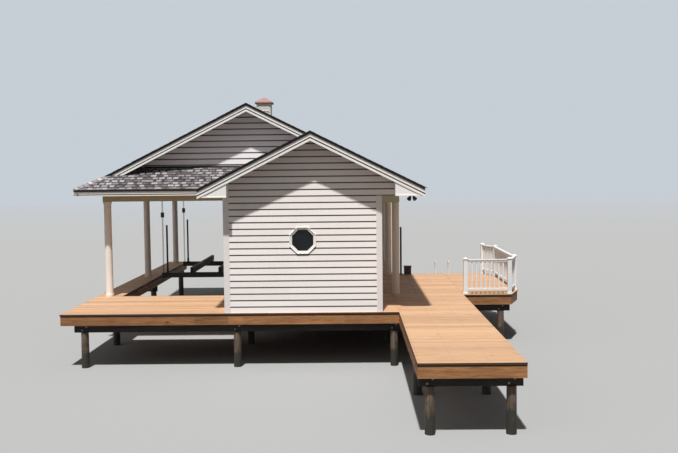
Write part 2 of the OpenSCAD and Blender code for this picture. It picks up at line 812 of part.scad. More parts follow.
// Boat lift: two I-beams across the slip
module lift_beams() {
  w = lift_beam_w / 2;
  h = lift_beam_h;
  t = lift_beam_t;
  outline = [[-w, 0], [w, 0], [w, t], [t / 2, t], [t / 2, h - t], [w, h - t], [w, h],
    [-w, h], [-w, h - t], [-t / 2, h - t], [-t / 2, t], [-w, t]];
  color(steel) place() for (y = y_lift)
    translate([x_lift[0], y, z_lift - h]) rotate([90, 0, 90])
      linear_extrude(x_lift[1] - x_lift[0]) polygon(outline);
}

module lift_bunks() {
  middle = (x_lift[0] + x_lift[1]) / 2;
  color(steel) place() for (x = [middle - bunk_gap / 2, middle + bunk_gap / 2])
    block([x - bunk_w / 2, y_lift[0] - bunk_out, z_lift],
      [x + bunk_w / 2, y_lift[1] + bunk_out, z_lift + bunk_h]);
}

module guide_poles() {
  color(black) place() for (x = [x_lift[0] + guide_in, x_lift[1] - guide_in], y = y_lift)
    translate([x, y, z_lift]) cylinder(d = guide_d, h = z_deck + guide_top - z_lift, $fn = 24);
}

module hoist_cables() {
  color(black) place() for (x = [x_lift[0] + cable_in, x_lift[1] - cable_in], y = y_lift) {
    translate([x, y, z_lift]) cylinder(d = cable_d, h = z_shaft - drum_d / 2 - z_lift, $fn = 16);
    translate([x - block_w / 2, y - block_w / 2, z_deck + block_low]) cube([block_w, block_w, block_h]);
  }
}

module hoist_shafts() {
  w = bearing_t;
  color(steel) place() for (x = [x_lift[0] + cable_in, x_lift[1] - cable_in]) {
    translate([x, y_lift[0] - shaft_out, z_shaft]) rotate([-90, 0, 0])
      cylinder(d = shaft_d, h = y_lift[1] - y_lift[0] + 2 * shaft_out, $fn = 24);
    for (y = y_lift)
      translate([x, y - drum_l / 2, z_shaft]) rotate([-90, 0, 0]) cylinder(d = drum_d, h = drum_l, $fn = 24);
    for (y = [y_lift[0] - bearing_out, y_lift[1] + bearing_out])
      block([x - w, y - w / 2, z_shaft - w], [x + w, y + w / 2, z_ceiling]);
  }
}

// Railing
module rail_posts() {
  cap = rail_post_w + 2 * rail_cap_out;
  color(white) place() for (p = rail_spots) translate([p[0], p[1], z_deck]) {
    translate([-rail_post_w / 2, -rail_post_w / 2, 0]) cube([rail_post_w, rail_post_w, rail_post_h]);
    translate([-cap / 2, -cap / 2, rail_post_h]) cube([cap, cap, rail_cap_t]);
  }
}

// A panel of rails and balusters between two rail posts. Slanting panels reach into the sides of the posts.
module rail_panel(p, q, ends) {
  run = norm(q - p);
  inside = run - 2 * ends;
  count = floor(inside / baluster_gap);
  first = (run - (count - 1) * baluster_gap) / 2;
  translate([p[0], p[1], z_deck]) rotate(atan2(q[1] - p[1], q[0] - p[0])) {
    for (z = [rail_low, rail_h - rail_t])
      translate([ends, -rail_w / 2, z]) cube([inside, rail_w, rail_t]);
    for (i = [0 : count - 1])
      translate([first + i * baluster_gap - baluster_w / 2, -baluster_w / 2, rail_low + rail_t])
        cube([baluster_w, baluster_w, rail_h - rail_low - 2 * rail_t]);
  }
}

module near_rail() {
  color(white) place() rail_panel(rail_spots[0], rail_spots[1], rail_post_w / 2);
}

module outer_rail() {
  color(white) place() rail_panel(rail_spots[2], rail_spots[3], rail_post_w / 2);
}

module corner_rails() {
  w = rail_post_w;
  color(white) place() difference() {
    union() {
      rail_panel(rail_spots[1], rail_spots[2], w / 2);
      rail_panel(rail_spots[3], rail_spots[4], w / 2);
    }
    for (p = rail_spots)
      translate([p[0] - w / 2, p[1] - w / 2, z_deck]) cube([w, w, rail_post_h]);
  }
}

// Fittings on the far edge of the dock, and the lamp under the right eave
module mooring_pole() {
  color(black) place() translate([x_stern + mooring_off, y_dock - fitting_in, z_deck])
    cylinder(d = mooring_d, h = mooring_h, $fn = 24);
}

module dock_box() {
  x = x_stern + box_off;
  y = y_dock - fitting_in - box_d / 2;
  color(black) place() block([x, y, z_deck], [x + box_w, y + box_d, z_deck + box_h]);
}

module dock_ladder() {
  x0 = x_dock - ladder_off;
  y = y_dock + ladder_out;
  r = ladder_d / 2;
  color(white) place() {
    for (x = [x0, x0 + ladder_w]) {
      translate([x, y, z_deck - ladder_down]) cylinder(r = r, h = ladder_down + ladder_up, $fn = 16);
      translate([x, y_dock - hoop_in, z_deck]) cylinder(r = r, h = ladder_up, $fn = 16);
      block([x - r, y_dock - hoop_in, z_deck + ladder_up - 2 * r], [x + r, y, z_deck + ladder_up]);
    }
    for (z = [z_deck - ladder_down + rung_gap / 2 : rung_gap : z_deck - rung_gap])
      block([x0, y - rung_t / 2, z], [x0 + ladder_w, y + rung_t / 2, z + rung_t]);
  }
}

module floodlight() {
  x = x_eave_right - lamp_in;
  w = lamp_w / 2;
  z = z_ceiling - lamp_foot;
  color(black) place() {
    block([x - w / 2, lamp_y, z], [x + w / 2, lamp_y + w, z_ceiling]);
    block([x - w, lamp_y - w / 2, z - lamp_h], [x + w, lamp_y + w, z]);
  }
}

piles();
girders();
deck_frames();
front_deck();
finger_deck();
dock_deck();
stern_deck();
walkway_deck();
landing_deck();
roof_posts();
side_beams();
header_beams();
front_wall();
side_walls();
back_wall();
corner_boards();
window_trim();
window_glass();
room_door();
gable_walls();
ceiling();
soffits();
roof_right();
roof_left();
front_roof_left();
skirt_roofs();
ridge_caps();
eave_fascias();
rake_boards();
eave_returns();
cupola_body();
cupola_roof();
lift_beams();
lift_bunks();
guide_poles();
hoist_cables();
hoist_shafts();
rail_posts();
near_rail();
outer_rail();
corner_rails();
mooring_pole();
dock_box();
dock_ladder();
floodlight();
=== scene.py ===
# The boathouse's looks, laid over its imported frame. Metres, +Z up, +Y towards the open water.
import math
import random

import bmesh
import bpy
from mathutils import Matrix, Vector


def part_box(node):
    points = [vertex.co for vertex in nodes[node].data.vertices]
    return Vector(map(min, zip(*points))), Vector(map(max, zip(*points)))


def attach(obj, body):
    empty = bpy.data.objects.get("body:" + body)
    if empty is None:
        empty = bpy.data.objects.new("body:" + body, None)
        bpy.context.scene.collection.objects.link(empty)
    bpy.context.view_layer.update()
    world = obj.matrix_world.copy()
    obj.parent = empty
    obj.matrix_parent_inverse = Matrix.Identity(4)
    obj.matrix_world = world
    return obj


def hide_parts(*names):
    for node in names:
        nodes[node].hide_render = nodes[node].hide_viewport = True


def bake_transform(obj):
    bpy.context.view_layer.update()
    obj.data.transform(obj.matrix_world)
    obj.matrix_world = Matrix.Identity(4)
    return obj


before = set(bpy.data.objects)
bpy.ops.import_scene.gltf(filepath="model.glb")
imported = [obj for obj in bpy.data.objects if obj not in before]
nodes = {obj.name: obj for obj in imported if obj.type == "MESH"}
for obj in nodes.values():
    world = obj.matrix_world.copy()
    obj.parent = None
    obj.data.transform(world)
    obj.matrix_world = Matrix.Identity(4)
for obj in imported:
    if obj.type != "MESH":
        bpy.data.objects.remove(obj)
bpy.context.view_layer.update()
print("frame loaded:", len(nodes), "nodes")

# Places that the pieces share, read from the frame
roomLow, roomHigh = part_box("side_walls")
frontLow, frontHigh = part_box("front_wall")
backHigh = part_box("back_wall")[1]
gableLow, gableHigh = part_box("gable_walls")
leftLow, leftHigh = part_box("roof_left")
rightLow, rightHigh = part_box("roof_right")
porchLow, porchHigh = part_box("front_roof_left")
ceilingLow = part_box("ceiling")[0]
fasciaLow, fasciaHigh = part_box("eave_fascias")
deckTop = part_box("front_deck")[1].z
ridgeX, ridgeZ = leftHigh.x, leftHigh.z
slope = (ridgeZ - porchHigh.z) / (porchHigh.x - ridgeX)
pitch = math.atan(slope)
eaveZ = ridgeZ - slope * (ridgeX - leftLow.x)
slabDrop = eaveZ - leftLow.z    # a roof slab's thickness, measured straight down
# The front gable's left slope comes in under the main slab at this x
frontMeet = (ridgeX + porchLow.x + (ridgeZ - 2 * slabDrop - porchLow.z) / slope) / 2
rakeOut = 0.44    # the roof stands out this far past its gable walls
rakeFront, rakeRear = gableLow.y - rakeOut, gableHigh.y + rakeOut
xAxis, yAxis, zAxis = Vector((1, 0, 0)), Vector((0, 1, 0)), Vector((0, 0, 1))
material = {}
hair = 0.0005    # left between faces that would lie in one plane
touch = 0.0002    # left between pieces that touch


# Node helpers

def put(tree, kind, values=None, **settings):
    node = tree.nodes.new(kind)
    for key, value in settings.items():
        setattr(node, key, value)
    for key, value in (values or {}).items():
        if isinstance(key, str):
            socket = next(s for s in node.inputs if s.name == key and s.enabled)
        else:
            socket = node.inputs[key]
        if isinstance(value, bpy.types.NodeSocket):
            tree.links.new(value, socket)
        else:
            socket.default_value = value
    return node


def calc(tree, operation, a, b=0.0):
    return put(tree, "ShaderNodeMath", {0: a, 1: b}, operation=operation).outputs[0]


def blended(tree, factor, a, b):    # sockets 6 and 7 and output 2 are the colours
    return put(tree, "ShaderNodeMix", {0: factor, 6: a, 7: b}, data_type="RGBA").outputs[2]


def ranged(tree, value, fromMin, fromMax, toMin, toMax):
    values = {"Value": value, "From Min": fromMin, "From Max": fromMax, "To Min": toMin, "To Max": toMax}
    return put(tree, "ShaderNodeMapRange", values).outputs[0]


def noise(tree, vector, scale, detail=4.0, distortion=0.0):
    values = {"Vector": vector, "Scale": scale, "Detail": detail, "Distortion": distortion}
    return put(tree, "ShaderNodeTexNoise", values).outputs[0]


def times(tree, a, b):
    return calc(tree, "MULTIPLY", a, b)


def plus(tree, a, b):
    return calc(tree, "ADD", a, b)


def minus(tree, a, b):
    return calc(tree, "SUBTRACT", a, b)


def combined(tree, x=0.0, y=0.0, z=0.0):
    return put(tree, "ShaderNodeCombineXYZ", {0: x, 1: y, 2: z}).outputs[0]


def parted(tree, vector):
    return put(tree, "ShaderNodeSeparateXYZ", {0: vector}).outputs


def rotation(tree, x=0.0, y=0.0):
    return put(tree, "FunctionNodeEulerToRotation", {0: combined(tree, x, y)}).outputs[0]


def stored(tree, geometry, name, value, domain):
    values = {"Geometry": geometry, "Name": name, "Value": value}
    return put(tree, "GeometryNodeStoreNamedAttribute", values, data_type="FLOAT", domain=domain).outputs[0]


def newGroup(name, kind, inputs, outputs):
    tree = bpy.data.node_groups.new(name, kind)
    for label, value in inputs.items():
        if isinstance(value, (tuple, list)):
            socketType = "NodeSocketColor" if len(value) == 4 else "NodeSocketVector"
        elif isinstance(value, str):
            socketType = value
        else:
            socketType = "NodeSocketInt" if isinstance(value, int) else "NodeSocketFloat"
        socket = tree.interface.new_socket(label, in_out="INPUT", socket_type=socketType)
        if not isinstance(value, str):
            socket.default_value = value
    for label, socketType in outputs.items():
        tree.interface.new_socket(label, in_out="OUTPUT", socket_type=socketType)
    return tree, tree.nodes.new("NodeGroupInput").outputs, tree.nodes.new("NodeGroupOutput")


def newShape(name, inputs):
    inputs["Material"] = "NodeSocketMaterial"
    return newGroup(name, "GeometryNodeTree", inputs, {"Geometry": "NodeSocketGeometry"})


def closeShape(tree, laid, given, out):
    laid = put(tree, "GeometryNodeRealizeInstances", {"Geometry": laid}).outputs[0]
    laid = put(tree, "GeometryNodeSetMaterial", {"Geometry": laid, "Material": given["Material"]}).outputs[0]
    tree.links.new(laid, out.inputs[0])
    return tree


def newSurface(name, inputs):
    outputs = {"Colour": "NodeSocketColor", "Roughness": "NodeSocketFloat", "Height": "NodeSocketFloat"}
    return newGroup(name, "ShaderNodeTree", inputs, outputs)


def closeSurface(tree, out, colour, rough, height):
    for socket, result in zip(out.inputs, (colour, rough, height)):
        tree.links.new(result, socket)
    return tree


def toned(tree, colour, tone, spread):
    bright = plus(tree, times(tree, minus(tree, tone, 0.5), spread), 1.0)
    return put(tree, "ShaderNodeHueSaturation", {"Value": bright, "Color": colour}).outputs[0]


# Shader groups that several finishes use

# Each noise is given as its scale, detail and distortion
grainLook = {"shift": 37.0, "stretch": 0.07, "streaks": (42.0, 5.0, 0.6), "bands": (9.0, 2.0, 1.2),
             "share": 0.6, "contrast": (0.34, 0.66), "knotStretch": 0.45, "knotScale": 3.2,
             "knotEdge": (0.045, 0.10), "knotDip": 0.25, "rough": (0.52, 0.78)}
middle = (0.3, 0.7)    # where most of a noise's values lie


def makeWoodGrain():
    tree, given, out = newSurface(
        "woodGrain",
        {"Along": 0.0, "Across": 0.0, "Depth": 0.0, "Tone": 0.5, "Light": (1, 1, 1, 1), "Dark": (0, 0, 0, 1),
         "Knot": (0.1, 0.05, 0.02, 1), "Knots": 0.5, "Spread": 0.2})
    look = grainLook
    shift = times(tree, given["Tone"], look["shift"])
    along, across = plus(tree, given["Along"], shift), plus(tree, given["Across"], shift)
    stretched = combined(tree, times(tree, along, look["stretch"]), across, given["Depth"])
    streaks = times(tree, noise(tree, stretched, *look["streaks"]), look["share"])
    bands = times(tree, noise(tree, stretched, *look["bands"]), 1 - look["share"])
    grain = plus(tree, streaks, bands)
    colour = blended(tree, ranged(tree, grain, *look["contrast"], 0.0, 1.0), given["Light"], given["Dark"])
    pressed = combined(tree, times(tree, along, look["knotStretch"]), across, given["Depth"])
    knots = put(tree, "ShaderNodeTexVoronoi", {"Vector": pressed, "Scale": look["knotScale"]}).outputs[0]
    knotMask = times(tree, ranged(tree, knots, *look["knotEdge"], 1.0, 0.0), given["Knots"])
    colour = blended(tree, knotMask, colour, given["Knot"])
    colour = toned(tree, colour, given["Tone"], times(tree, given["Spread"], 2.0))
    rough = ranged(tree, grain, *middle, *look["rough"])
    return closeSurface(tree, out, colour, rough, minus(tree, grain, times(tree, knotMask, look["knotDip"])))


filmLook = {"patches": (1.7, 3.0), "stretch": (9.0, 9.0, 0.9), "runs": (2.2, 4.0, 0.4), "fine": (160.0, 2.0),
            "stained": (0.2, 0.5), "spread": 0.06, "runGloss": 0.22, "fineHeight": 0.3}


def makePaintFilm():
    tree, given, out = newSurface(
        "paintFilm",
        {"Place": (0.0, 0.0, 0.0), "Paint": (1, 1, 1, 1), "Grime": (0.3, 0.28, 0.24, 1), "Soiling": 0.15,
         "Tone": 0.5, "Gloss": 0.4})
    look, place = filmLook, given["Place"]
    streak = put(tree, "ShaderNodeMapping", {"Vector": place, "Scale": look["stretch"]}).outputs[0]
    runs = noise(tree, streak, *look["runs"])
    stains = times(tree, noise(tree, place, *look["patches"]), runs)
    dirt = times(tree, ranged(tree, stains, *look["stained"], 0.0, 1.0), given["Soiling"])
    colour = toned(tree, blended(tree, dirt, given["Paint"], given["Grime"]), given["Tone"], look["spread"])
    rough = plus(tree, given["Gloss"], times(tree, runs, look["runGloss"]))
    fine = times(tree, noise(tree, place, *look["fine"]), look["fineHeight"])
    return closeSurface(tree, out, colour, rough, plus(tree, fine, runs))


stoneLook = {"cells": 260.0, "blots": (14.0, 4.0), "weather": (0.8, 3.0), "spread": 0.32, "speckShare": 0.35,
             "mixed": (0.3, 0.85), "bright": (0.72, 1.05), "brightShow": 0.8, "worn": (0.4, 0.7),
             "wornShow": 0.25, "shadeFrom": 0.24, "shadeTo": 0.13, "shadeShow": 0.92, "rough": (0.78, 0.95),
             "relief": 0.002}


def makeGranules():
    tree, given, out = newSurface(
        "granules",
        {"Place": (0.0, 0.0, 0.0), "Tone": 0.5, "Rise": 0.0, "Stone": (0.2, 0.2, 0.2, 1),
         "Dark": (0.03, 0.03, 0.03, 1), "Pale": (0.5, 0.5, 0.5, 1), "Lap": 0.7})
    look = stoneLook
    cells = put(tree, "ShaderNodeTexVoronoi", {"Vector": given["Place"], "Scale": look["cells"]})
    speck = put(tree, "ShaderNodeSeparateColor", {0: cells.outputs["Color"]}).outputs[0]
    blots = noise(tree, given["Place"], *look["blots"])
    weather = noise(tree, given["Place"], *look["weather"])
    tabTone = ranged(tree, given["Tone"], 0.0, 1.0, -look["spread"], look["spread"])
    mixture = plus(tree, plus(tree, blots, tabTone), times(tree, speck, look["speckShare"]))
    colour = blended(tree, ranged(tree, mixture, *look["mixed"], 0.0, 1.0), given["Dark"], given["Stone"])
    bright = ranged(tree, plus(tree, speck, tabTone), *look["bright"], 0.0, look["brightShow"])
    colour = blended(tree, bright, colour, given["Pale"])
    colour = blended(tree, ranged(tree, weather, *look["worn"], 0.0, look["wornShow"]), colour, given["Pale"])
    shadeFrom = minus(tree, given["Lap"], look["shadeFrom"])
    shadeTo = minus(tree, given["Lap"], look["shadeTo"])
    shade = ranged(tree, given["Rise"], shadeFrom, shadeTo, 0.0, look["shadeShow"])
    colour = blended(tree, shade, colour, given["Dark"])
    rough = ranged(tree, speck, 0.0, 1.0, *look["rough"])
    return closeSurface(tree, out, colour, rough, plus(tree, cells.outputs["Distance"], blots))


woodGrain = makeWoodGrain()
paintFilm = makePaintFilm()
granules = makeGranules()


# Finishes

def newFinish(name, **settings):
    made = bpy.data.materials.new(name)
    made.use_nodes = True
    tree = made.node_tree
    shader = tree.nodes["Principled BSDF"]
    for label, value in settings.items():
        shader.inputs[label.replace("_", " ")].default_value = value
    material[name] = made
    return tree, shader


def objectPlace(tree):
    return put(tree, "ShaderNodeTexCoord").outputs["Object"]


def attribute(tree, name):
    return put(tree, "ShaderNodeAttribute", attribute_name=name).outputs["Fac"]


def groupIn(tree, group, look, **more):
    labels = [item.name for item in group.interface.items_tree if item.in_out == "INPUT"]
    values = {label: look[label.lower()] for label in labels if label.lower() in look}
    return put(tree, "ShaderNodeGroup", {**values, **more}, node_tree=group)


def bumped(tree, shader, height, strength, distance):
    bump = put(tree, "ShaderNodeBump", {"Strength": strength, "Distance": distance, "Height": height})
    tree.links.new(bump.outputs[0], shader.inputs["Normal"])


def wire(tree, shader, node, distance, colour=None, strength=0.5):
    tree.links.new(colour or node.outputs["Colour"], shader.inputs["Base Color"])
    tree.links.new(node.outputs["Roughness"], shader.inputs["Roughness"])
    bumped(tree, shader, node.outputs["Height"], strength, distance)


woods = {
    "deckPine": {"light": (0.63, 0.395, 0.235, 1), "dark": (0.49, 0.28, 0.15, 1), "knots": 0.7,
                 "spread": 0.16, "knot": (0.24, 0.11, 0.045, 1), "grain": "x",
                 "edge": (0.030, 0.017, 0.011, 1)},
    "rimWood": {"light": (0.43, 0.205, 0.083, 1), "dark": (0.175, 0.074, 0.030, 1), "knots": 0.8,
                "spread": 0.24, "knot": (0.05, 0.022, 0.01, 1), "grain": "flat",
                "damp": (0.018, 0.010, 0.007, 1)},
    "girderWood": {"light": (0.022, 0.015, 0.011, 1), "dark": (0.009, 0.006, 0.005, 1), "knots": 0.5,
                   "spread": 0.0, "knot": (0.008, 0.006, 0.005, 1), "grain": "flat"},
}
# Painted shade: deck boards' upright sides are darkened. Rim boards get a painted shadow band from the first
# depth below the deck up to the second.
woodLook = {"relief": 0.0015, "squash": 0.05, "sideFacing": (0.2, 0.4), "sideShow": 0.95,
            "damp": (0.044, 0.030), "dampShow": 0.92}


def makeWood(name, look):
    tree, shader = newFinish(name, Specular_IOR_Level=0.35)
    x, y, z = parted(tree, objectPlace(tree))
    if look["grain"] == "x":
        along, across, depth = x, y, z
    else:
        along, across = plus(tree, x, y), z
        depth = times(tree, minus(tree, x, y), woodLook["squash"])
    more = {"Tone": attribute(tree, "tone")} if look["spread"] else {}
    node = groupIn(tree, woodGrain, look, Along=along, Across=across, Depth=depth, **more)
    colour = None
    # Painted shade on the deck boards' upright sides
    if "edge" in look:
        facing = put(tree, "ShaderNodeNewGeometry").outputs["True Normal"]
        upright = calc(tree, "ABSOLUTE", parted(tree, facing)[2])
        side = ranged(tree, upright, *woodLook["sideFacing"], woodLook["sideShow"], 0.0)
        colour = blended(tree, side, node.outputs["Colour"], look["edge"])
    # Painted shadow band on the rim boards just under the deck's edge
    if "damp" in look:
        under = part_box("front_deck")[0].z
        low, high = (under - down for down in woodLook["damp"])
        damp = ranged(tree, z, low, high, 0.0, woodLook["dampShow"])
        colour = blended(tree, damp, node.outputs["Colour"], look["damp"])
    wire(tree, shader, node, woodLook["relief"], colour)


piling = {"light": (0.20, 0.145, 0.10, 1), "dark": (0.075, 0.052, 0.036, 1), "knot": (0.03, 0.02, 0.014, 1),
          "knots": 0.6, "wet": (0.020, 0.022, 0.016, 1), "wetTo": 0.45, "wetFade": 0.12, "wetShow": 0.9,
          "ragged": (7.0, 4.0), "raggedHigh": 0.16, "relief": 0.004}


def makePiling():
    tree, shader = newFinish("pileWood", Specular_IOR_Level=0.4)
    place = objectPlace(tree)
    x, y, z = parted(tree, place)
    node = groupIn(tree, woodGrain, piling, Along=z, Across=x, Depth=y)
    high, fade = piling["raggedHigh"], piling["wetFade"]
    ragged = noise(tree, place, *piling["ragged"])
    edge = plus(tree, z, ranged(tree, ragged, *middle, -high, high))
    wet = ranged(tree, edge, piling["wetTo"] - fade, piling["wetTo"] + fade, piling["wetShow"], 0.0)
    wire(tree, shader, node, piling["relief"], blended(tree, wet, node.outputs["Colour"], piling["wet"]))


paints = {
    "sidingPaint": {"paint": (0.92, 0.85, 0.81, 1), "soiling": 0.07, "gloss": 0.42, "boards": "lapped"},
    # A bluer, paler copy of the siding paint: a painted tint of sky light on the gables
    "skyTintGablePaint": {"paint": (0.94, 0.88, 0.88, 1), "soiling": 0.07, "gloss": 0.42, "boards": "lapped"},
    "trimPaint": {"paint": (0.92, 0.89, 0.85, 1), "soiling": 0.07, "gloss": 0.34},
    "cornerPaint": {"paint": (0.83, 0.77, 0.745, 1), "soiling": 0.07, "gloss": 0.38},
    "postPaint": {"paint": (0.86, 0.79, 0.72, 1), "soiling": 0.12, "gloss": 0.45},
    "beamPaint": {"paint": (0.44, 0.41, 0.26, 1), "soiling": 0.15, "gloss": 0.5},
    "soffitPaint": {"paint": (0.60, 0.53, 0.43, 1), "soiling": 0.2, "gloss": 0.5, "boards": "flat"},
    "cupolaPaint": {"paint": (0.74, 0.71, 0.65, 1), "soiling": 0.3, "gloss": 0.45},
    "railVinyl": {"paint": (0.84, 0.835, 0.82, 1), "soiling": 0.06, "gloss": 0.24},
    "doorPaint": {"paint": (0.78, 0.76, 0.71, 1), "soiling": 0.1, "gloss": 0.3},
    "ladderPaint": {"paint": (0.80, 0.80, 0.79, 1), "soiling": 0.15, "gloss": 0.28},
    "cupolaMetal": {"paint": (0.40, 0.205, 0.175, 1), "soiling": 0.35, "gloss": 0.38},
    "liftSteel": {"paint": (0.032, 0.026, 0.023, 1), "soiling": 0.5, "gloss": 0.42,
                  "grime": (0.12, 0.05, 0.022, 1)},
    "blackPipe": {"paint": (0.012, 0.012, 0.013, 1), "soiling": 0.12, "gloss": 0.32},
    "boxPlastic": {"paint": (0.045, 0.026, 0.02, 1), "soiling": 0.2, "gloss": 0.4},
    "lampBlack": {"paint": (0.02, 0.02, 0.021, 1), "soiling": 0.2, "gloss": 0.4},
    # Dark drip edges; the same dark also fills the fascia and rake grooves as painted shade
    "dripEdgeAndShadeDark": {"paint": (0.028, 0.024, 0.023, 1), "soiling": 0.3, "gloss": 0.6},
    # A real flashing, painted nearly black to carry the shade along the foot of the gable walls
    "flashing": {"paint": (0.006, 0.005, 0.005, 1), "soiling": 0.1, "gloss": 0.7},
}
# A painted shadow line under each lap begins this far up a board, as a share of the board's width
lapShadowLine = {"from": 0.675, "fade": 0.02, "show": 0.95, "colour": (0.045, 0.037, 0.031, 1)}
paintRelief, paintBump = 0.0008, 0.35


def makePaint(name, look):
    tree, shader = newFinish(name)
    more = {"Tone": attribute(tree, "tone")} if "boards" in look else {}
    node = groupIn(tree, paintFilm, look, Place=objectPlace(tree), **more)
    colour = None
    # Painted shadow: the top of each board's exposed face, just under the next board's butt, is darkened
    if look.get("boards") == "lapped":
        start, show = lapShadowLine["from"], lapShadowLine["show"]
        line = ranged(tree, attribute(tree, "rise"), start, start + lapShadowLine["fade"], 0.0, show)
        colour = blended(tree, line, node.outputs["Colour"], lapShadowLine["colour"])
    wire(tree, shader, node, paintRelief, colour, paintBump)


shingleLooks = {
    "shingles": {"stone": (0.135, 0.117, 0.122, 1), "dark": (0.022, 0.018, 0.019, 1),
                 "pale": (0.30, 0.27, 0.28, 1)},
    "shingleTabs": {"stone": (0.27, 0.24, 0.245, 1), "dark": (0.030, 0.025, 0.026, 1),
                    "pale": (0.56, 0.52, 0.535, 1)},
    # The hip caps' finish is paler than the other shingles: a painted highlight along the hips
    "litHipShingles": {"stone": (0.40, 0.365, 0.36, 1), "dark": (0.16, 0.14, 0.14, 1),
                    "pale": (0.66, 0.62, 0.62, 1)},
}
shingleLap = 0.74    # how far up a shingle the next course begins


def makeShingleFinish(name, look):
    tree, shader = newFinish(name, Specular_IOR_Level=0.25)
    node = groupIn(tree, granules, look, Place=objectPlace(tree), Tone=attribute(tree, "tone"),
                   Rise=attribute(tree, "rise"), Lap=shingleLap)
    wire(tree, shader, node, stoneLook["relief"])


# The slabs' edges: how far below the eave line the stone and the drip edge show, and how softly they end
slabLook = {"stone": 0.028, "drip": 0.055, "fade": 0.001, "soiling": 0.3}


def makeSlabEdge():
    tree, shader = newFinish("slabEdge")
    place = objectPlace(tree)
    board = {"paint": paints["trimPaint"]["paint"], "soiling": slabLook["soiling"]}
    node = groupIn(tree, paintFilm, board, Place=place)
    height, colour = parted(tree, place)[2], node.outputs["Colour"]
    for key, tint in (("drip", paints["dripEdgeAndShadeDark"]["paint"]), ("stone", shingleLooks["shingles"]["stone"])):
        line = eaveZ - slabLook[key]
        colour = blended(tree, ranged(tree, height, line - slabLook["fade"], line, 0.0, 1.0), colour, tint)
    wire(tree, shader, node, paintRelief, colour)


glass = {"haze": (3.0, 3.0), "clear": (0.004, 0.005, 0.006, 1), "dusty": (0.010, 0.012, 0.014, 1)}


def makeGlass():
    tree, shader = newFinish("windowGlass", Roughness=0.04, IOR=1.5, Specular_IOR_Level=0.35)
    haze = noise(tree, objectPlace(tree), *glass["haze"])
    haze = ranged(tree, haze, *middle, 0.0, 1.0)
    tree.links.new(blended(tree, haze, glass["clear"], glass["dusty"]), shader.inputs["Base Color"])


metals = {"screwSteel": {"tint": (0.30, 0.27, 0.24, 1), "rough": 0.45},
          "ropeSteel": {"tint": (0.045, 0.041, 0.039, 1), "rough": 0.5}}
metalWear = {"noise": (60.0, 4.0), "shade": 0.4, "smoother": 0.08, "rougher": 0.14}


def makeBareMetal(name, look):
    tree, shader = newFinish(name, Metallic=1.0)
    wear = noise(tree, objectPlace(tree), *metalWear["noise"])
    worn = (*(c * metalWear["shade"] for c in look["tint"][:3]), 1)
    tree.links.new(blended(tree, wear, look["tint"], worn), shader.inputs["Base Color"])
    low, high = look["rough"] - metalWear["smoother"], look["rough"] + metalWear["rougher"]
    rough = ranged(tree, wear, *middle, low, high)
    tree.links.new(rough, shader.inputs["Roughness"])


carpet = {"tufts": 240.0, "patches": (5.0, 4.0), "dark": (0.020, 0.017, 0.015, 1),
          "light": (0.055, 0.047, 0.040, 1), "rough": (0.82, 0.96), "relief": 0.003}


def makeCarpet():
    tree, shader = newFinish("bunkCarpet", Sheen_Weight=0.4, Sheen_Roughness=0.5)
    place = objectPlace(tree)
    tufts = put(tree, "ShaderNodeTexVoronoi", {"Vector": place, "Scale": carpet["tufts"]}).outputs[0]
    patches = noise(tree, place, *carpet["patches"])
    tree.links.new(blended(tree, patches, carpet["dark"], carpet["light"]), shader.inputs["Base Color"])
    rough = ranged(tree, patches, *middle, *carpet["rough"])
    tree.links.new(rough, shader.inputs["Roughness"])
    bumped(tree, shader, tufts, 0.8, carpet["relief"])


def makeFinishes():
    for name, look in woods.items():
        makeWood(name, look)
    for name, look in paints.items():
        makePaint(name, look)
    for name, look in shingleLooks.items():
        makeShingleFinish(name, look)
    for make in (makePiling, makeSlabEdge, makeGlass, makeCarpet):
        make()
    for name, look in metals.items():
        makeBareMetal(name, look)
    print("finishes made:", len(material))


# Camera, floor and light
view = {"place": (roomLow.x + 2.944, frontLow.y - 20.0635, 4.5103), "lens": 45.89, "sensor": 36, "clip": 600,
        "pitch": 0.06, "yaw": -0.0132, "roll": -0.0107}
suns = {"keySun": {"strength": 4.5, "size": 2, "turn": (25, 0, -9)},
        "fillSun": {"strength": 0.25, "size": 40, "turn": (62, 0, -62)}}
studio = {"world": 0.18, "backdrop": (0.57, 0.62, 0.67, 1), "floor": (0.38, 0.38, 0.375, 1),
          "bounce": (0.13, 0.125, 0.12, 1), "floorSize": 400, "fade": (40, 150)}


def matrixAt(place, sides):
    return Matrix.Translation(place) @ Matrix(sides).transposed().to_4x4()


def addCamera():
    yaw, down, turn = view["yaw"], view["pitch"], view["roll"]
    ahead = Vector((math.sin(yaw) * math.cos(down), math.cos(yaw) * math.cos(down), -math.sin(down)))
    flat = Vector((math.cos(yaw), -math.sin(yaw), 0))
    up = flat.cross(ahead)
    right = math.cos(turn) * flat + math.sin(turn) * up
    top = -math.sin(turn) * flat + math.cos(turn) * up
    data = bpy.data.cameras.new("photoView")
    data.lens, data.sensor_width, data.clip_end = view["lens"], view["sensor"], view["clip"]
    camera = linked("photoView", data)
    camera.matrix_world = matrixAt(view["place"], (right, top, -ahead))
    bpy.context.scene.camera = camera


def addSun(name, look):
    data = bpy.data.lights.new(name, "SUN")
    data.energy, data.angle = look["strength"], math.radians(look["size"])
    linked(name, data).rotation_euler = [math.radians(a) for a in look["turn"]]


def seenRays(tree):
    rays = put(tree, "ShaderNodeLightPath").outputs
    clear = calc(tree, "MAXIMUM", rays["Is Glossy Ray"], rays["Is Transmission Ray"])
    return calc(tree, "MAXIMUM", rays["Is Camera Ray"], clear)


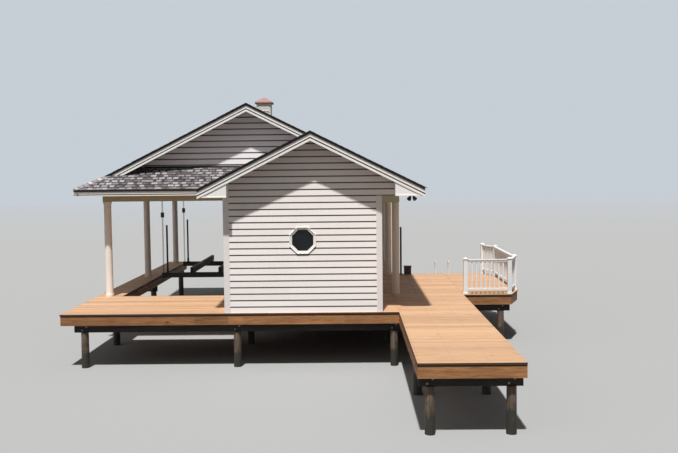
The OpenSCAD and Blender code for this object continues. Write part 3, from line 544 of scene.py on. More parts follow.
def addWorld():
    world = bpy.data.worlds.new("studioWorld")
    bpy.context.scene.world = world
    world.use_nodes = True
    tree = world.node_tree
    tree.nodes.clear()
    soft = put(tree, "ShaderNodeBackground", {"Color": (1, 1, 1, 1), "Strength": studio["world"]})
    shown = put(tree, "ShaderNodeBackground", {"Color": studio["backdrop"], "Strength": 1.0})
    mix = put(tree, "ShaderNodeMixShader", {0: seenRays(tree), 1: soft.outputs[0], 2: shown.outputs[0]})
    put(tree, "ShaderNodeOutputWorld", {0: mix.outputs[0]})


def addFloor():
    size = studio["floorSize"] / 2
    mesh = bpy.data.meshes.new("studioFloor")
    corners = [(-size, -size, 0), (size, -size, 0), (size, size, 0), (-size, size, 0)]
    mesh.from_pydata(corners, [], [(0, 1, 2, 3)])
    made = bpy.data.materials.new("studioFloor")
    made.use_nodes = True
    tree = made.node_tree
    tree.nodes.clear()
    far = put(tree, "ShaderNodeVectorMath", {0: objectPlace(tree)}, operation="LENGTH").outputs["Value"]
    faded = ranged(tree, far, *studio["fade"], 0.0, 1.0)
    tint = blended(tree, seenRays(tree), studio["bounce"], studio["floor"])
    dull = put(tree, "ShaderNodeBsdfDiffuse", {"Color": tint})
    clear = put(tree, "ShaderNodeBsdfTransparent")
    mix = put(tree, "ShaderNodeMixShader", {0: faded, 1: dull.outputs[0], 2: clear.outputs[0]})
    put(tree, "ShaderNodeOutputMaterial", {0: mix.outputs[0]})
    mesh.materials.append(made)
    linked("studioFloor", mesh)


def setStudio():
    bpy.context.scene.view_settings.view_transform = "Standard"
    addCamera()
    addWorld()
    addFloor()
    for name, look in suns.items():
        addSun(name, look)
    print("studio set")


# Mesh helpers

sharpFrom, creaseFrom = 0.6, 0.7    # angles from which edges are eased and from which they stay sharp
flatUnder = 0.01    # faces that meet under a smaller angle are one
sameSpot, onPlane = 0.00002, 0.00001
squareOn = 0.9    # a face looks along an axis if its normal has more than this of it


def linked(name, data, finish=None):
    made = bpy.data.objects.new(name, data)
    bpy.context.scene.collection.objects.link(made)
    if finish:
        data.materials.clear()
        data.materials.append(material[finish])
    return made


def baked(tree, inputs, base=None):
    host = bpy.data.objects.new("host", base or bpy.data.meshes.new("host"))
    bpy.context.scene.collection.objects.link(host)
    modifier = host.modifiers.new("build", "NODES")
    modifier.node_group = tree
    for item in tree.interface.items_tree:
        if item.item_type == "SOCKET" and item.in_out == "INPUT" and item.name in inputs:
            modifier[item.identifier] = inputs[item.name]
    bpy.context.view_layer.update()
    evaluated = host.evaluated_get(bpy.context.evaluated_depsgraph_get())
    mesh = bpy.data.meshes.new_from_object(evaluated)
    bpy.data.objects.remove(host)
    return mesh


def bakedPart(tree, inputs, place, sides, bm=None):
    mesh = baked(tree, inputs)
    mesh.transform(matrixAt(place, sides))
    bm = bmesh.new() if bm is None else bm
    bm.from_mesh(mesh)
    bpy.data.meshes.remove(mesh)
    return bm


def settle(name, bm, finish, nodesFor=(), edge=0.0, smooth=False, body="root"):
    if edge:
        sharp = [e for e in bm.edges if e.is_manifold and e.calc_face_angle(0) > sharpFrom]
        bmesh.ops.bevel(bm, geom=sharp, offset=edge, segments=1, affect="EDGES", clamp_overlap=True)
    mesh = bpy.data.meshes.new(name)
    bm.to_mesh(mesh)
    bm.free()
    if smooth:
        mesh.shade_smooth()
        mesh.set_sharp_from_angle(angle=creaseFrom)
    return placed(linked(name, mesh, finish), body, nodesFor)


def placed(made, body="root", nodesFor=()):
    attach(made, body)
    if nodesFor:
        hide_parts(*nodesFor)
    return made


def addBox(bm, low, high):
    low, high = Vector(low), Vector(high)
    matrix = Matrix.Translation((low + high) / 2) @ Matrix.Diagonal((*(high - low), 1))
    bmesh.ops.create_cube(bm, size=1, matrix=matrix)


def band(bm, lower, upper):
    count = len(lower)
    pairs = [(i, (i + 1) % count) for i in range(count)]
    return [bm.faces.new((lower[i], lower[j], upper[j], upper[i])) for i, j in pairs]


def skin(bm, rings):
    for lower, upper in zip(rings, rings[1:]):
        band(bm, lower, upper)
    bm.faces.new(rings[0][::-1])
    bm.faces.new(rings[-1])


def addPrism(bm, outline, reach):
    base = [bm.verts.new(p) for p in outline]
    top = [bm.verts.new(Vector(p) + Vector(reach)) for p in outline]
    faces = [bm.faces.new(base), bm.faces.new(top)] + band(bm, base, top)
    bmesh.ops.recalc_face_normals(bm, faces=faces)


def addRod(bm, start, end, radius, sides=12, endRadius=None):
    start, end = Vector(start), Vector(end)
    along = end - start
    matrix = Matrix.Translation((start + end) / 2) @ along.to_track_quat("Z", "Y").to_matrix().to_4x4()
    last = radius if endRadius is None else endRadius
    bmesh.ops.create_cone(bm, cap_ends=True, segments=sides, radius1=radius, radius2=last, depth=along.length,
                          matrix=matrix)


# The collar and the cap begin this far below the top, and their radii are shares of the pole's
def addPole(bm, x, y, low, high, radius, look):
    collar, cap = high - look["collar"], high - look["cap"]
    wide = radius * look["wider"]
    addRod(bm, (x, y, low), (x, y, collar), radius, sides=24)
    addRod(bm, (x, y, collar), (x, y, cap), wide, sides=24)
    addRod(bm, (x, y, cap), (x, y, high), wide, sides=24, endRadius=radius * look["tip"])


def cadCopy(node):
    bm = bmesh.new()
    bm.from_mesh(nodes[node].data)
    bm.transform(nodes[node].matrix_world)
    bmesh.ops.remove_doubles(bm, verts=bm.verts, dist=sameSpot)
    bmesh.ops.recalc_face_normals(bm, faces=bm.faces)
    flat = [e for e in bm.edges if e.is_manifold and e.calc_face_angle(0) < flatUnder]
    bmesh.ops.dissolve_edges(bm, edges=flat, use_verts=False)
    bmesh.ops.dissolve_limit(bm, angle_limit=flatUnder, verts=bm.verts, edges=bm.edges,
                             use_dissolve_boundaries=False)
    return bm


def easedNode(name, node, finish, edge=0.0, smooth=False, body="root"):
    return settle(name, cadCopy(node), finish, (node,), edge, smooth, body)


def spotsOf(node):
    bm = cadCopy(node)
    spots = islands(bm)
    bm.free()
    return spots


# Boards and shingles, laid in rows

def drawn(tree, given, salt, low=0.0):    # from low to 1
    values = {2: low, 3: 1.0, 8: plus(tree, given["Seed"], float(salt))}
    return put(tree, "FunctionNodeRandomValue", values, data_type="FLOAT").outputs[1]


def cornerBox(tree, size, side=1.0):    # a box whose corner is at the origin, to the right or left of it
    values = {0: size, 1: (0.5 * side, 0.5, 0.5)}
    shift = put(tree, "ShaderNodeVectorMath", values, operation="MULTIPLY").outputs[0]
    cube = put(tree, "GeometryNodeMeshCube", {"Size": size}).outputs[0]
    return put(tree, "GeometryNodeTransform", {"Geometry": cube, "Translation": shift}).outputs[0]


def withRise(tree, geometry, length):    # how far up a board or shingle each point lies, from 0 to 1
    up = parted(tree, tree.nodes.new("GeometryNodeInputPosition").outputs[0])[1]
    return stored(tree, geometry, "rise", calc(tree, "DIVIDE", up, length), "POINT")


def instanced(tree, points, instance, turn, scale=(1.0, 1.0, 1.0)):
    values = {"Points": points, "Instance": instance, "Rotation": turn, "Scale": scale}
    return put(tree, "GeometryNodeInstanceOnPoints", values).outputs[0]


def makeLaidBoards():
    tree, given, out = newShape(
        "laidBoards",
        {"Rows": 1, "Row Gap": 0.1, "Columns": 1, "Column Gap": 1.0, "Length": 1.0, "Width": 0.1,
         "Thickness": 0.01, "Lift": 0.0, "Stagger": 0.0, "Wander": 0.0, "Longer": 0.0, "Thicker": 0.0,
         "Seed": 0})
    index = tree.nodes.new("GeometryNodeInputIndex").outputs[0]
    row = calc(tree, "FLOOR", calc(tree, "DIVIDE", index, given["Columns"]))
    column = minus(tree, index, times(tree, row, given["Columns"]))
    wander = times(tree, drawn(tree, given, 1, -1.0), given["Wander"])
    shift = minus(tree, wander, times(tree, calc(tree, "MODULO", row, 2.0), given["Stagger"]))
    x = plus(tree, times(tree, column, given["Column Gap"]), shift)
    spot = combined(tree, x, times(tree, row, given["Row Gap"]), given["Lift"])
    count = times(tree, given["Rows"], given["Columns"])
    points = put(tree, "GeometryNodePoints", {"Count": count, "Position": spot}).outputs[0]
    size = combined(tree, given["Length"], given["Width"], given["Thickness"])
    board = withRise(tree, cornerBox(tree, size), given["Width"])
    tip = calc(tree, "ARCSINE", calc(tree, "DIVIDE", given["Lift"], given["Width"]))
    longer = plus(tree, 1.0, times(tree, drawn(tree, given, 2), given["Longer"]))
    thicker = plus(tree, 1.0, times(tree, drawn(tree, given, 3), given["Thicker"]))
    scale = combined(tree, longer, 1.0, thicker)
    laid = instanced(tree, points, board, rotation(tree, times(tree, tip, -1.0)), scale)
    return closeShape(tree, stored(tree, laid, "tone", drawn(tree, given, 4), "INSTANCE"), given, out)


laidBoards = makeLaidBoards()


def cutAway(bm, point, away):
    geometry = bm.verts[:] + bm.edges[:] + bm.faces[:]
    cut = bmesh.ops.bisect_plane(bm, geom=geometry, dist=onPlane, plane_co=point, plane_no=away,
                                 clear_outer=True)
    edges = [e for e in cut["geom_cut"] if isinstance(e, bmesh.types.BMEdge)]
    rims = [e for e in edges if e.is_valid and e.is_boundary]
    if rims:
        bmesh.ops.holes_fill(bm, edges=rims, sides=0)


rowDefaults = {"joint": 0.0, "stagger": 0.0, "lift": 0.0, "wander": 0.0, "longer": 0.0, "thicker": 0.0,
               "off": 0.0, "start": 0.0}
rowInputs = {"Row Gap": "gap", "Column Gap": "length", "Width": "width", "Thickness": "thick", "Lift": "lift",
             "Stagger": "stagger", "Wander": "wander", "Longer": "longer", "Thicker": "thicker"}


# Lays rows over a convex outline, whose sides then cut them
def layRows(look, corners, along, up, seed, cutWay=None):
    look = {**rowDefaults, **look}
    corners = [Vector(c) for c in corners]
    origin = corners[0]
    along, up = Vector(along).normalized(), Vector(up).normalized()
    out = along.cross(up)
    reachA = [(c - origin).dot(along) for c in corners]
    reachU = [(c - origin).dot(up) for c in corners]
    anchor = look.get("anchor", origin.dot(up)) - origin.dot(up)
    gap, length = look["gap"], look["length"]
    low = anchor + math.floor((min(reachU) - anchor) / gap + 0.001) * gap + look["start"]
    inputs = {label: look[key] for label, key in rowInputs.items()}
    inputs["Rows"] = math.ceil((max(reachU) - low) / gap)
    inputs["Columns"] = math.ceil((max(reachA) - min(reachA) + look["stagger"]) / length) + 1
    inputs.update({"Length": length - look["joint"], "Seed": seed, "Material": material[look["finish"]]})
    corner = origin + along * min(reachA) + up * low + out * look["off"]
    bm = bakedPart(laidBoards, inputs, corner, (along, up, out))
    for here, there in zip(corners, corners[1:] + corners[:1]):
        cutAway(bm, here, (there - here).cross(cutWay or out))
    return bm


def pour(part, whole):
    scrap = bpy.data.meshes.new("scrap")
    part.to_mesh(scrap)
    part.free()
    whole.from_mesh(scrap)
    bpy.data.meshes.remove(scrap)


def gather(name, parts, finish, nodesFor=()):
    whole = bmesh.new()
    for part in parts:
        pour(part, whole)
    return settle(name, whole, finish, nodesFor)


# Decks

decking = {"gap": 0.145, "width": 0.1395, "thick": 0.038, "length": 4.88, "joint": 0.003,
           "finish": "deckPine", "slack": 0.005, "eased": 0.003}
# How far every other row's butt joints are shifted
deckJoint = {"front_deck": 1.22, "finger_deck": 0.0, "dock_deck": 0.0, "stern_deck": 0.0, "walkway_deck": 0.0,
             "landing_deck": 0.0}
landing = {"straight": 1.27, "cut": 0.85}    # along and across, up to where the corners are cut


def landingCorners(low, high):
    turnX, cut = low.x + landing["straight"], landing["cut"]
    points = [(low.x, low.y), (turnX, low.y), (high.x, low.y + cut), (high.x, high.y - cut), (turnX, high.y),
              (low.x, high.y)]
    return [(x, y, low.z) for x, y in points]


def deckRows(low, high):
    deep = high.y - low.y
    rows = math.floor((deep + decking["slack"]) / decking["gap"])
    return rows, (deep - decking["width"]) / (rows - 1)


def rectangle(a0, a1, b0, b1):
    return [(a0, b0), (a1, b0), (a1, b1), (a0, b1)]


def layDecks():
    for count, (node, stagger) in enumerate(deckJoint.items()):
        low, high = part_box(node)
        corners = [(x, y, low.z) for x, y in rectangle(low.x, high.x, low.y, high.y)]
        if node == "landing_deck":
            corners = landingCorners(low, high)
        look = dict(decking, stagger=stagger, gap=deckRows(low, high)[1])
        bm = layRows(look, corners, xAxis, yAxis, seed=11 + count)
        settle(node + "Boards", bm, "deckPine", (node,), decking["eased"])
    print("decks laid")


# Siding

siding = {"gap": 0.152, "width": 0.176, "thick": 0.0085, "lift": 0.0125, "length": 4.88, "joint": 0.002,
          "off": 0.0003, "anchor": deckTop, "finish": "sidingPaint"}
gableSiding = dict(siding, gap=0.160, width=0.184, anchor=ridgeZ, finish="skyTintGablePaint")
boardEdge = 0.115    # a corner board's width
windowLap = 0.006    # the siding runs this far under the window's trim


def sideWall(look, points, out, at, seed):
    corners = [(a, at, z) if out.y else (at, a, z) for a, z in points]
    return layRows(look, corners, Vector((-out.y, out.x, 0)), zAxis, seed)


def mainTop(x):
    return ridgeZ - slope * abs(x - ridgeX)


def porchTop(x):
    return porchHigh.z - slope * abs(x - porchHigh.x)


def underMain(x):
    return mainTop(x) - slabDrop


def underPorch(x):
    return porchTop(x) - slabDrop


def laySiding():
    left, right, front, back = roomLow.x, roomHigh.x, frontLow.y, backHigh.y
    floor, top, trim = deckTop, ceilingLow.z, boardEdge
    edge = frontHigh.x    # the front gable stands out past the room on its right
    gable = [(left, top), (edge, top), (edge, underPorch(edge)), (porchHigh.x, underPorch(porchHigh.x)),
             (left, underPorch(left))]
    around = aroundWindow(left + trim, right - trim, floor, top)
    doorLow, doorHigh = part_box("room_door")
    fields = [(gable, -yAxis, front, 21)]
    fields += [(region, -yAxis, front, 61 + i) for i, region in enumerate(around)]
    fields += [(rectangle(back - trim, front + trim, floor, top), -xAxis, left, 23),
               (rectangle(right - trim, left + trim, floor, top), yAxis, back, 24),
               (rectangle(front + trim, doorLow.y, floor, top), xAxis, right, 25),
               (rectangle(doorHigh.y, back - trim, floor, top), xAxis, right, 26),
               (rectangle(doorLow.y, doorHigh.y, doorHigh.z, top), xAxis, right, 28)]
    gather("wallSiding", [sideWall(siding, *field) for field in fields], "sidingPaint")
    layGableSiding()


def aroundWindow(x0, x1, z0, z1):
    low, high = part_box("window_trim")
    a, b, c, d = low.x + windowLap, high.x - windowLap, low.z + windowLap, high.z - windowLap
    cut = (b - a) * (1 - math.tan(math.pi / 8)) / 2    # how far the octagon's corners are cut
    return [
        rectangle(x0, a, z0, z1), rectangle(b, x1, z0, z1), rectangle(a, b, z0, c), rectangle(a, b, d, z1),
        [(a, c), (a + cut, c), (a, c + cut)], [(b - cut, c), (b, c), (b, c + cut)],
        [(b, d - cut), (b, d), (b - cut, d)], [(a, d), (a, d - cut), (a + cut, d)]]


skirtTop = eaveZ + slope * (gableLow.y - leftLow.y)    # where the skirt roof meets the gable wall
flashing = {"show": 0.030, "out": 0.004, "apron": 0.085, "short": 0.5, "rise": 0.020, "tuck": 0.020,
            "valleyLift": 0.002}


def layGableSiding():
    low, high = gableLow, gableHigh
    base = skirtTop + flashing["show"]
    half = (ridgeZ - slabDrop - base) / slope
    leftX, rightX = max(low.x, ridgeX - half), min(high.x, ridgeX + half)
    apex = (ridgeX, underMain(ridgeX))
    valley = (base - porchLow.z - slabDrop) / slope + porchLow.x - 2 * flashing["show"]
    front = [(leftX, base), (valley, base), (frontMeet, underMain(frontMeet)), apex]
    rear = [(rightX, base), (leftX, base), apex]
    parts = [sideWall(gableSiding, front, -yAxis, low.y, 31), sideWall(gableSiding, rear, yAxis, high.y, 32)]
    gather("gableSiding", parts, "skyTintGablePaint")
    print("siding laid")


# Shingles

shingling = {"gap": 0.143, "width": 0.190, "thick": 0.004, "lift": 0.005, "length": 0.98, "joint": 0.0005,
             "stagger": 0.33, "off": 0.0008, "start": -0.01, "finish": "shingles"}
tabs = dict(shingling, length=0.196, joint=0.088, stagger=0.09, wander=0.045, longer=0.5, thicker=0.5,
            off=0.0052, finish="shingleTabs")
edgeKeep = 0.004    # what stands on the slabs stays this far inside their edges on the left and at the rear
eaveLap = 0.045    # elsewhere the shingles run past the eaves
rakeLap = 0.045    # and past the rakes


def shingleField(upslope, eaveAt, seed, points):
    way = Vector(upslope)
    rises = [slope * (Vector((x, y, 0)).dot(way) - eaveAt * sum(upslope)) for x, y in points]
    corners = [(x, y, eaveZ + rise) for (x, y), rise in zip(points, rises)]
    up = (way * math.cos(pitch) + zAxis * math.sin(pitch)).normalized()
    looks = ((shingling, seed), (tabs, seed + 30))
    return [layRows(look, corners, way.cross(zAxis), up, number, zAxis) for look, number in looks]


def layShingles():
    left, right = leftLow.x + edgeKeep, rightHigh.x + eaveLap
    front, rear = rightLow.y - rakeLap, rightHigh.y - edgeKeep
    ridge, porch = ridgeX, porchHigh.x
    eave, tip = leftLow.y - eaveLap, porchLow.x - eaveLap
    rakeA, rakeB = rakeFront - rakeLap, rakeRear + rakeLap
    hipA, hipB = rakeA - leftLow.y, rightHigh.y - rakeB    # how far the hips have run in at the rakes
    inner, outer = gableLow.y, gableHigh.y
    spanA, spanB = inner - leftLow.y, rightHigh.y - outer
    under = frontMeet - 2 * slabDrop    # the front gable's shingles run in under the main roof up to here
    hipFoot = porchLow.x + hipA
    # A field has to be convex, so each main slope has one below the tops of its hips and one above them
    rightTop, leftTop, leftRear = rightHigh.x - hipB, leftLow.x + hipA, leftHigh.y - hipA
    toLeft, toRight, toRear, toFront = (-1, 0, 0), (1, 0, 0), (0, 1, 0), (0, -1, 0)
    x0, x1, x2 = leftLow.x, porchLow.x, rightHigh.x
    # For each field: the way up its slope, where its eave is, the seed and the outline
    slopes = {
        "Right": [(toLeft, x2, 41, [(right, front), (right, rakeA), (porch, rakeA), (porch, front)]),
                  (toLeft, x2, 42, [(right, rakeA), (right, rear), (rightTop, rakeB), (rightTop, rakeA)]),
                  (toLeft, x2, 48, [(rightTop, rakeA), (rightTop, rakeB), (ridge, rakeB), (ridge, rakeA)])],
        "Left": [(toRight, x0, 43, [(left, rear), (left, leftLow.y), (leftTop, rakeA), (leftTop, leftRear)]),
                 (toRight, x0, 49, [(leftTop, leftRear), (leftTop, rakeA), (ridge, rakeA), (ridge, rakeB)])],
        "Porch": [(toRight, x1, 44, [(tip, leftLow.y), (tip, front), (porch, front), (porch, rakeFront),
                                     (hipFoot, rakeFront)]),
                  (toRight, x1, 47, [(hipFoot, rakeFront), (under, rakeFront), (under, inner),
                                     (x1 + spanA, inner)])],
        "Skirt": [(toRear, leftLow.y, 45, [(left, eave), (tip, eave), (x1 + spanA, inner),
                                           (x0 + spanA, inner)]),
                  (toFront, rightHigh.y, 46, [(x2, rear), (left, rear), (x0 + spanB, outer),
                                              (x2 - spanB, outer)])]}
    for name, fields in slopes.items():
        courses, laidTabs = zip(*(shingleField(*field) for field in fields))
        gather("shingles" + name, courses, "shingles")
        gather("shingleTabs" + name, laidTabs, "shingleTabs")
    print("shingles laid")


def makeFoldedCaps():
    tree, given, out = newShape(
        "foldedCaps",
        {"Count": 5, "Gap": 0.14, "Wing": 0.15, "Length": 0.28, "Thickness": 0.005, "Fold": 0.4, "Tilt": 0.02,
         "Seed": 0})
    index = tree.nodes.new("GeometryNodeInputIndex").outputs[0]
    spot = combined(tree, y=times(tree, index, given["Gap"]))
    points = put(tree, "GeometryNodePoints", {"Count": given["Count"], "Position": spot}).outputs[0]
    size = combined(tree, given["Wing"], given["Length"], given["Thickness"])
    join = tree.nodes.new("GeometryNodeJoinGeometry")
    for side in (1.0, -1.0):
        turn = rotation(tree, y=times(tree, given["Fold"], side))
        values = {"Geometry": cornerBox(tree, size, side), "Rotation": turn}
        tree.links.new(put(tree, "GeometryNodeTransform", values).outputs[0], join.inputs[0])
    cap = withRise(tree, join.outputs[0], given["Length"])
    laid = instanced(tree, points, cap, rotation(tree, times(tree, given["Tilt"], -1.0)))
    return closeShape(tree, stored(tree, laid, "tone", drawn(tree, given, 0), "INSTANCE"), given, out)


capping = {"gap": 0.143, "length": 0.19, "wing": 0.135, "thick": 0.006, "rise": 0.013, "foot": 0.006,
           "under": 0.01}


def capLine(tree, start, end, normalA, normalB, seed):
    start, end = Vector(start), Vector(end)
    normalA, normalB = Vector(normalA).normalized(), Vector(normalB).normalized()
    up = (end - start).normalized()
    mid = (normalA + normalB).normalized()
    out = (mid - up * mid.dot(up)).normalized()
    gap, thick = capping["gap"], capping["thick"]
    inputs = {"Count": max(1, math.ceil((end - start).length / gap)), "Gap": gap, "Wing": capping["wing"],
              "Length": capping["length"], "Thickness": thick, "Fold": math.acos(normalA.dot(out)),
              "Tilt": thick / gap, "Seed": seed, "Material": material["shingles"]}
    bm = bakedPart(tree, inputs, start + out * capping["rise"], (up.cross(out), up, out))
    cutAway(bm, end, up)
    cutAway(bm, start, -up)
    return bm


def layCaps():
    tree = makeFoldedCaps()
    sn, cs, k = math.sin(pitch), math.cos(pitch), edgeKeep
    toRight, toLeft, toFront, toRear = (sn, 0, cs), (-sn, 0, cs), (0, -sn, cs), (0, sn, cs)
    cupolaLow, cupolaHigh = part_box("cupola_body")
    run, rearRun = rakeFront - leftLow.y, rightHigh.y - rakeRear
    low, high, rearHigh = eaveZ + capping["foot"], eaveZ + slope * run, eaveZ + slope * rearRun
    x0, x1, y1 = leftLow.x, rightHigh.x, leftHigh.y
    porchX, porchZ, porchEnd = porchHigh.x, porchHigh.z, rakeFront - capping["under"]
    lines = [
        ((ridgeX, rakeFront, ridgeZ), (ridgeX, cupolaLow.y, ridgeZ), toRight, toLeft),
        ((ridgeX, rakeRear, ridgeZ), (ridgeX, cupolaHigh.y, ridgeZ), toRight, toLeft),
        ((porchX, rightLow.y, porchZ), (porchX, porchEnd, porchZ), toRight, toLeft),
        ((x0 + k, leftLow.y + k, low), (x0 + run, rakeFront, high), toLeft, toFront),
        ((x0 + k, y1 - k, low), (x0 + rearRun, rakeRear, rearHigh), toLeft, toRear),
        ((x1 - k, rightHigh.y - k, low), (x1 - rearRun, rakeRear, rearHigh), toRight, toRear)]
    parts = [capLine(tree, *line, 51 + i) for i, line in enumerate(lines)]
    for bm in parts[3:]:
        for point, away in (((x0 + k / 2, 0, 0), -xAxis), ((0, y1 - k / 2, 0), yAxis),
                            ((x1 - k / 2, 0, 0), xAxis)):
            cutAway(bm, point, away)
    gather("ridgeShingles", parts[:3], "shingles", ("ridge_caps",))
    gather("litHipShingles", parts[3:], "litHipShingles")
    print("ridges capped")


# Linings under the roof

lining = {"gap": 0.15, "width": 0.146, "thick": 0.004, "length": 3.66, "joint": 0.002, "stagger": 1.83,
          "off": 0.0004, "finish": "soffitPaint", "post": 0.20, "trim": 0.02}
rakeLining = dict(lining, gap=0.10, width=0.097, stagger=0.0, length=0.6)


def layLinings():
    postLow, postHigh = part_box("roof_posts")
    sofLow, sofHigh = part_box("soffits")
    post, trim = lining["post"], lining["trim"]
    inset = fascia["inset"] + fascia["thick"]
    levels = [
        (postLow.x + post, postHigh.x - post, postLow.y + post, postHigh.y - post),
        (roomHigh.x + trim, postHigh.x - post, frontHigh.y, postLow.y),
        (sofLow.x, postLow.x, postLow.y, postHigh.y), (postHigh.x, sofHigh.x, postLow.y, postHigh.y),
        (frontHigh.x, sofHigh.x, frontLow.y, postLow.y), (sofLow.x, sofHigh.x, postHigh.y, sofHigh.y),
        (sofLow.x, roomLow.x - trim, leftLow.y + inset, postLow.y)]
    parts = []
    for count, (x0, x1, y0, y1) in enumerate(levels):
        corners = [(x, y, ceilingLow.z) for x, y in rectangle(x0, x1, y1, y0)]
        parts.append(layRows(lining, corners, xAxis, -yAxis, seed=71 + count))
    gather("ceilingBoards", parts, "soffitPaint")
    parts = []
    inset += 0.001
    runs = [(underPorch, porchLow.x + inset, porchHigh.x, rightLow.y + inset, frontLow.y, 1),
            (underPorch, porchHigh.x, rightHigh.x - inset, rightLow.y + inset, frontLow.y, -1),
            (underMain, leftLow.x + rakeFront - leftLow.y, ridgeX, rakeFront + inset, gableLow.y, 1),
            (underMain, ridgeX, frontMeet - trim, rakeFront + inset, gableLow.y, -1),
            (underMain, leftLow.x + rightHigh.y - rakeRear, ridgeX, gableHigh.y, rakeRear - inset, 1),
            (underMain, ridgeX, rightHigh.x - rightHigh.y + rakeRear, gableHigh.y, rakeRear - inset, -1)]
    for count, (under, x0, x1, y0, y1, turn) in enumerate(runs):
        low, high, first, last = (x0, x1, y0, y1) if turn > 0 else (x1, x0, y1, y0)
        corners = [(x, y, under(x)) for x, y in ((low, first), (low, last), (high, last), (high, first))]
        up = Vector((turn * math.cos(pitch), 0, math.sin(pitch)))
        parts.append(layRows(rakeLining, corners, yAxis * turn, up, seed=81 + count))
    gather("rakeSoffits", parts, "soffitPaint")
    print("linings laid")


# Boards along the eaves and rakes

fascia = {"inset": 0.012, "thick": 0.025, "bead": 0.026, "beadOut": 0.009, "gap": 0.0262, "gapHigh": 0.026,
          "drip": 0.026, "foot": 0.002, "dripTop": 0.0065}
rake = {"cover": 0.044, "crown": 0.130, "groove": 0.162, "bottom": 0.216, "out": 0.001, "lowerOut": 0.012,
        "face": 0.012, "dripOut": 0.014, "lift": 0.012}


def layFascias():
    easedNode("eaveBoards", "eave_fascias", "trimPaint", edge=0.003)
    bm, dripsAndShadeStrips = bmesh.new(), bmesh.new()
    left, right, front, rear = leftLow.x, rightHigh.x, rightLow.y, rightHigh.y
    eave, tip = leftLow.y, porchLow.x
    keep, face = fascia["inset"] - fascia["beadOut"], fascia["inset"]
    low, high = fasciaLow.z, fasciaHigh.z
    above = low + fascia["gap"] + fascia["gapHigh"]
    drip = high - fascia["drip"]
    for x0, y0, x1, y1 in ((right - face, front + face, right - keep, rear - keep),
                           (left + keep, rear - face, right - face, rear - keep),
                           (left + keep, eave + keep, left + face, rear - face),
                           (left + face, eave + keep, tip, eave + face),
                           (tip + keep, front + face, tip + face, eave + keep)):
        # The dark strip between the bead and the cover board is painted shade; the one under the shingles is
        # the drip edge
        for part, z0, z1 in ((bm, low + fascia["foot"], low + fascia["bead"]), (bm, above, drip),
                             (dripsAndShadeStrips, low + fascia["gap"], above - touch),
                             (dripsAndShadeStrips, drip + touch, high - fascia["dripTop"])):
            addBox(part, (x0, y0, z0), (x1, y1, z1))
    settle("eaveBeads", bm, "trimPaint", edge=0.002)
    settle("eaveDripAndShadeStrip", dripsAndShadeStrips, "dripEdgeAndShadeDark")
    print("eaves trimmed")


def chevron(bm, height, xs, above, below, y0, y1):
    x0, x1, x2 = xs
    outline = [(x0, y0, height(x0) - above), (x1, y0, height(x1) - above), (x2, y0, height(x2) - above),
               (x2, y0, height(x2) - below), (x1, y0, height(x1) - below), (x0, y0, height(x0) - below)]
    addPrism(bm, outline, (0, y1 - y0, 0))


def layRakes():
    boards, dripsAndShadeStrips = bmesh.new(), bmesh.new()
    frontRun, backRun = rakeFront - leftLow.y, rightHigh.y - rakeRear
    end, under = rake["out"], slabDrop + hair
    sets = [
        (porchTop, (porchLow.x + end, porchHigh.x, rightHigh.x - end), rightLow.y, -1, None, False),
        (mainTop, (leftLow.x + frontRun, ridgeX, porchHigh.x), rakeFront, -1, frontRun, True),
        (mainTop, (leftLow.x + backRun, ridgeX, rightHigh.x - backRun), rakeRear, 1, backRun, False)]
    for height, xs, y, way, run, valley in sets:
        made, drip = bmesh.new(), bmesh.new()
        edge, face = y + way * end, y - way * rake["face"]
        back = face - way * fascia["thick"]
        chevron(made, height, xs, under, rake["crown"], face, edge)
        chevron(made, height, xs, rake["groove"], rake["bottom"], face, y + way * rake["lowerOut"])
        # Painted shade: a dark backing in the groove between the crown and the lower board
        chevron(drip, height, xs, under, rake["bottom"] - end, back, face)
        chevron(drip, height, xs, -end, rake["cover"], edge, y + way * rake["dripOut"])
        for each, target in ((made, boards), (drip, dripsAndShadeStrips)):
            if run is not None:
                cutAway(each, (0, 0, eaveZ + slope * (run - end) + rake["lift"]), -zAxis)
            if valley:
                point = (porchHigh.x, 0, porchHigh.z + rake["lift"])
                cutAway(each, point, Vector((math.sin(pitch), 0, -math.cos(pitch))))
            pour(each, target)
    settle("rakeTrim", boards, "trimPaint", ("rake_boards",), edge=0.002)
    settle("rakeDripAndShadeStrip", dripsAndShadeStrips, "dripEdgeAndShadeDark")
    layReturns()
    print("rakes trimmed")


returnBox = {"panel": 0.032, "below": 0.003, "rail": 0.026, "railOut": 0.010}


def layReturns():
    bm = cadCopy("eave_returns")
    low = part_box("eave_returns")[0]
    ends = sorted({round(v.co.x, 4) for v in bm.verts})
    drop = rake["bottom"] + returnBox["below"]
    face, rail = low.y - returnBox["panel"], returnBox["rail"]
    reach = (porchHigh.z - drop - low.z) / slope    # where the panel runs out under the rake board
    for inner, way in ((ends[1], -1), (ends[-2], 1)):
        tip = porchHigh.x + way * reach
        outline = [(inner, face, low.z), (inner, face, porchTop(inner) - drop), (tip, face, low.z)]
        addPrism(bm, outline, (0, low.y - hair - face, 0))
        x0, x1 = sorted((inner, tip - way * rail / slope))
        addBox(bm, (x0, face - returnBox["railOut"], low.z), (x1, face - touch, low.z + rail))
    settle("returnBoxes", bm, "trimPaint", ("eave_returns",), edge=0.002)


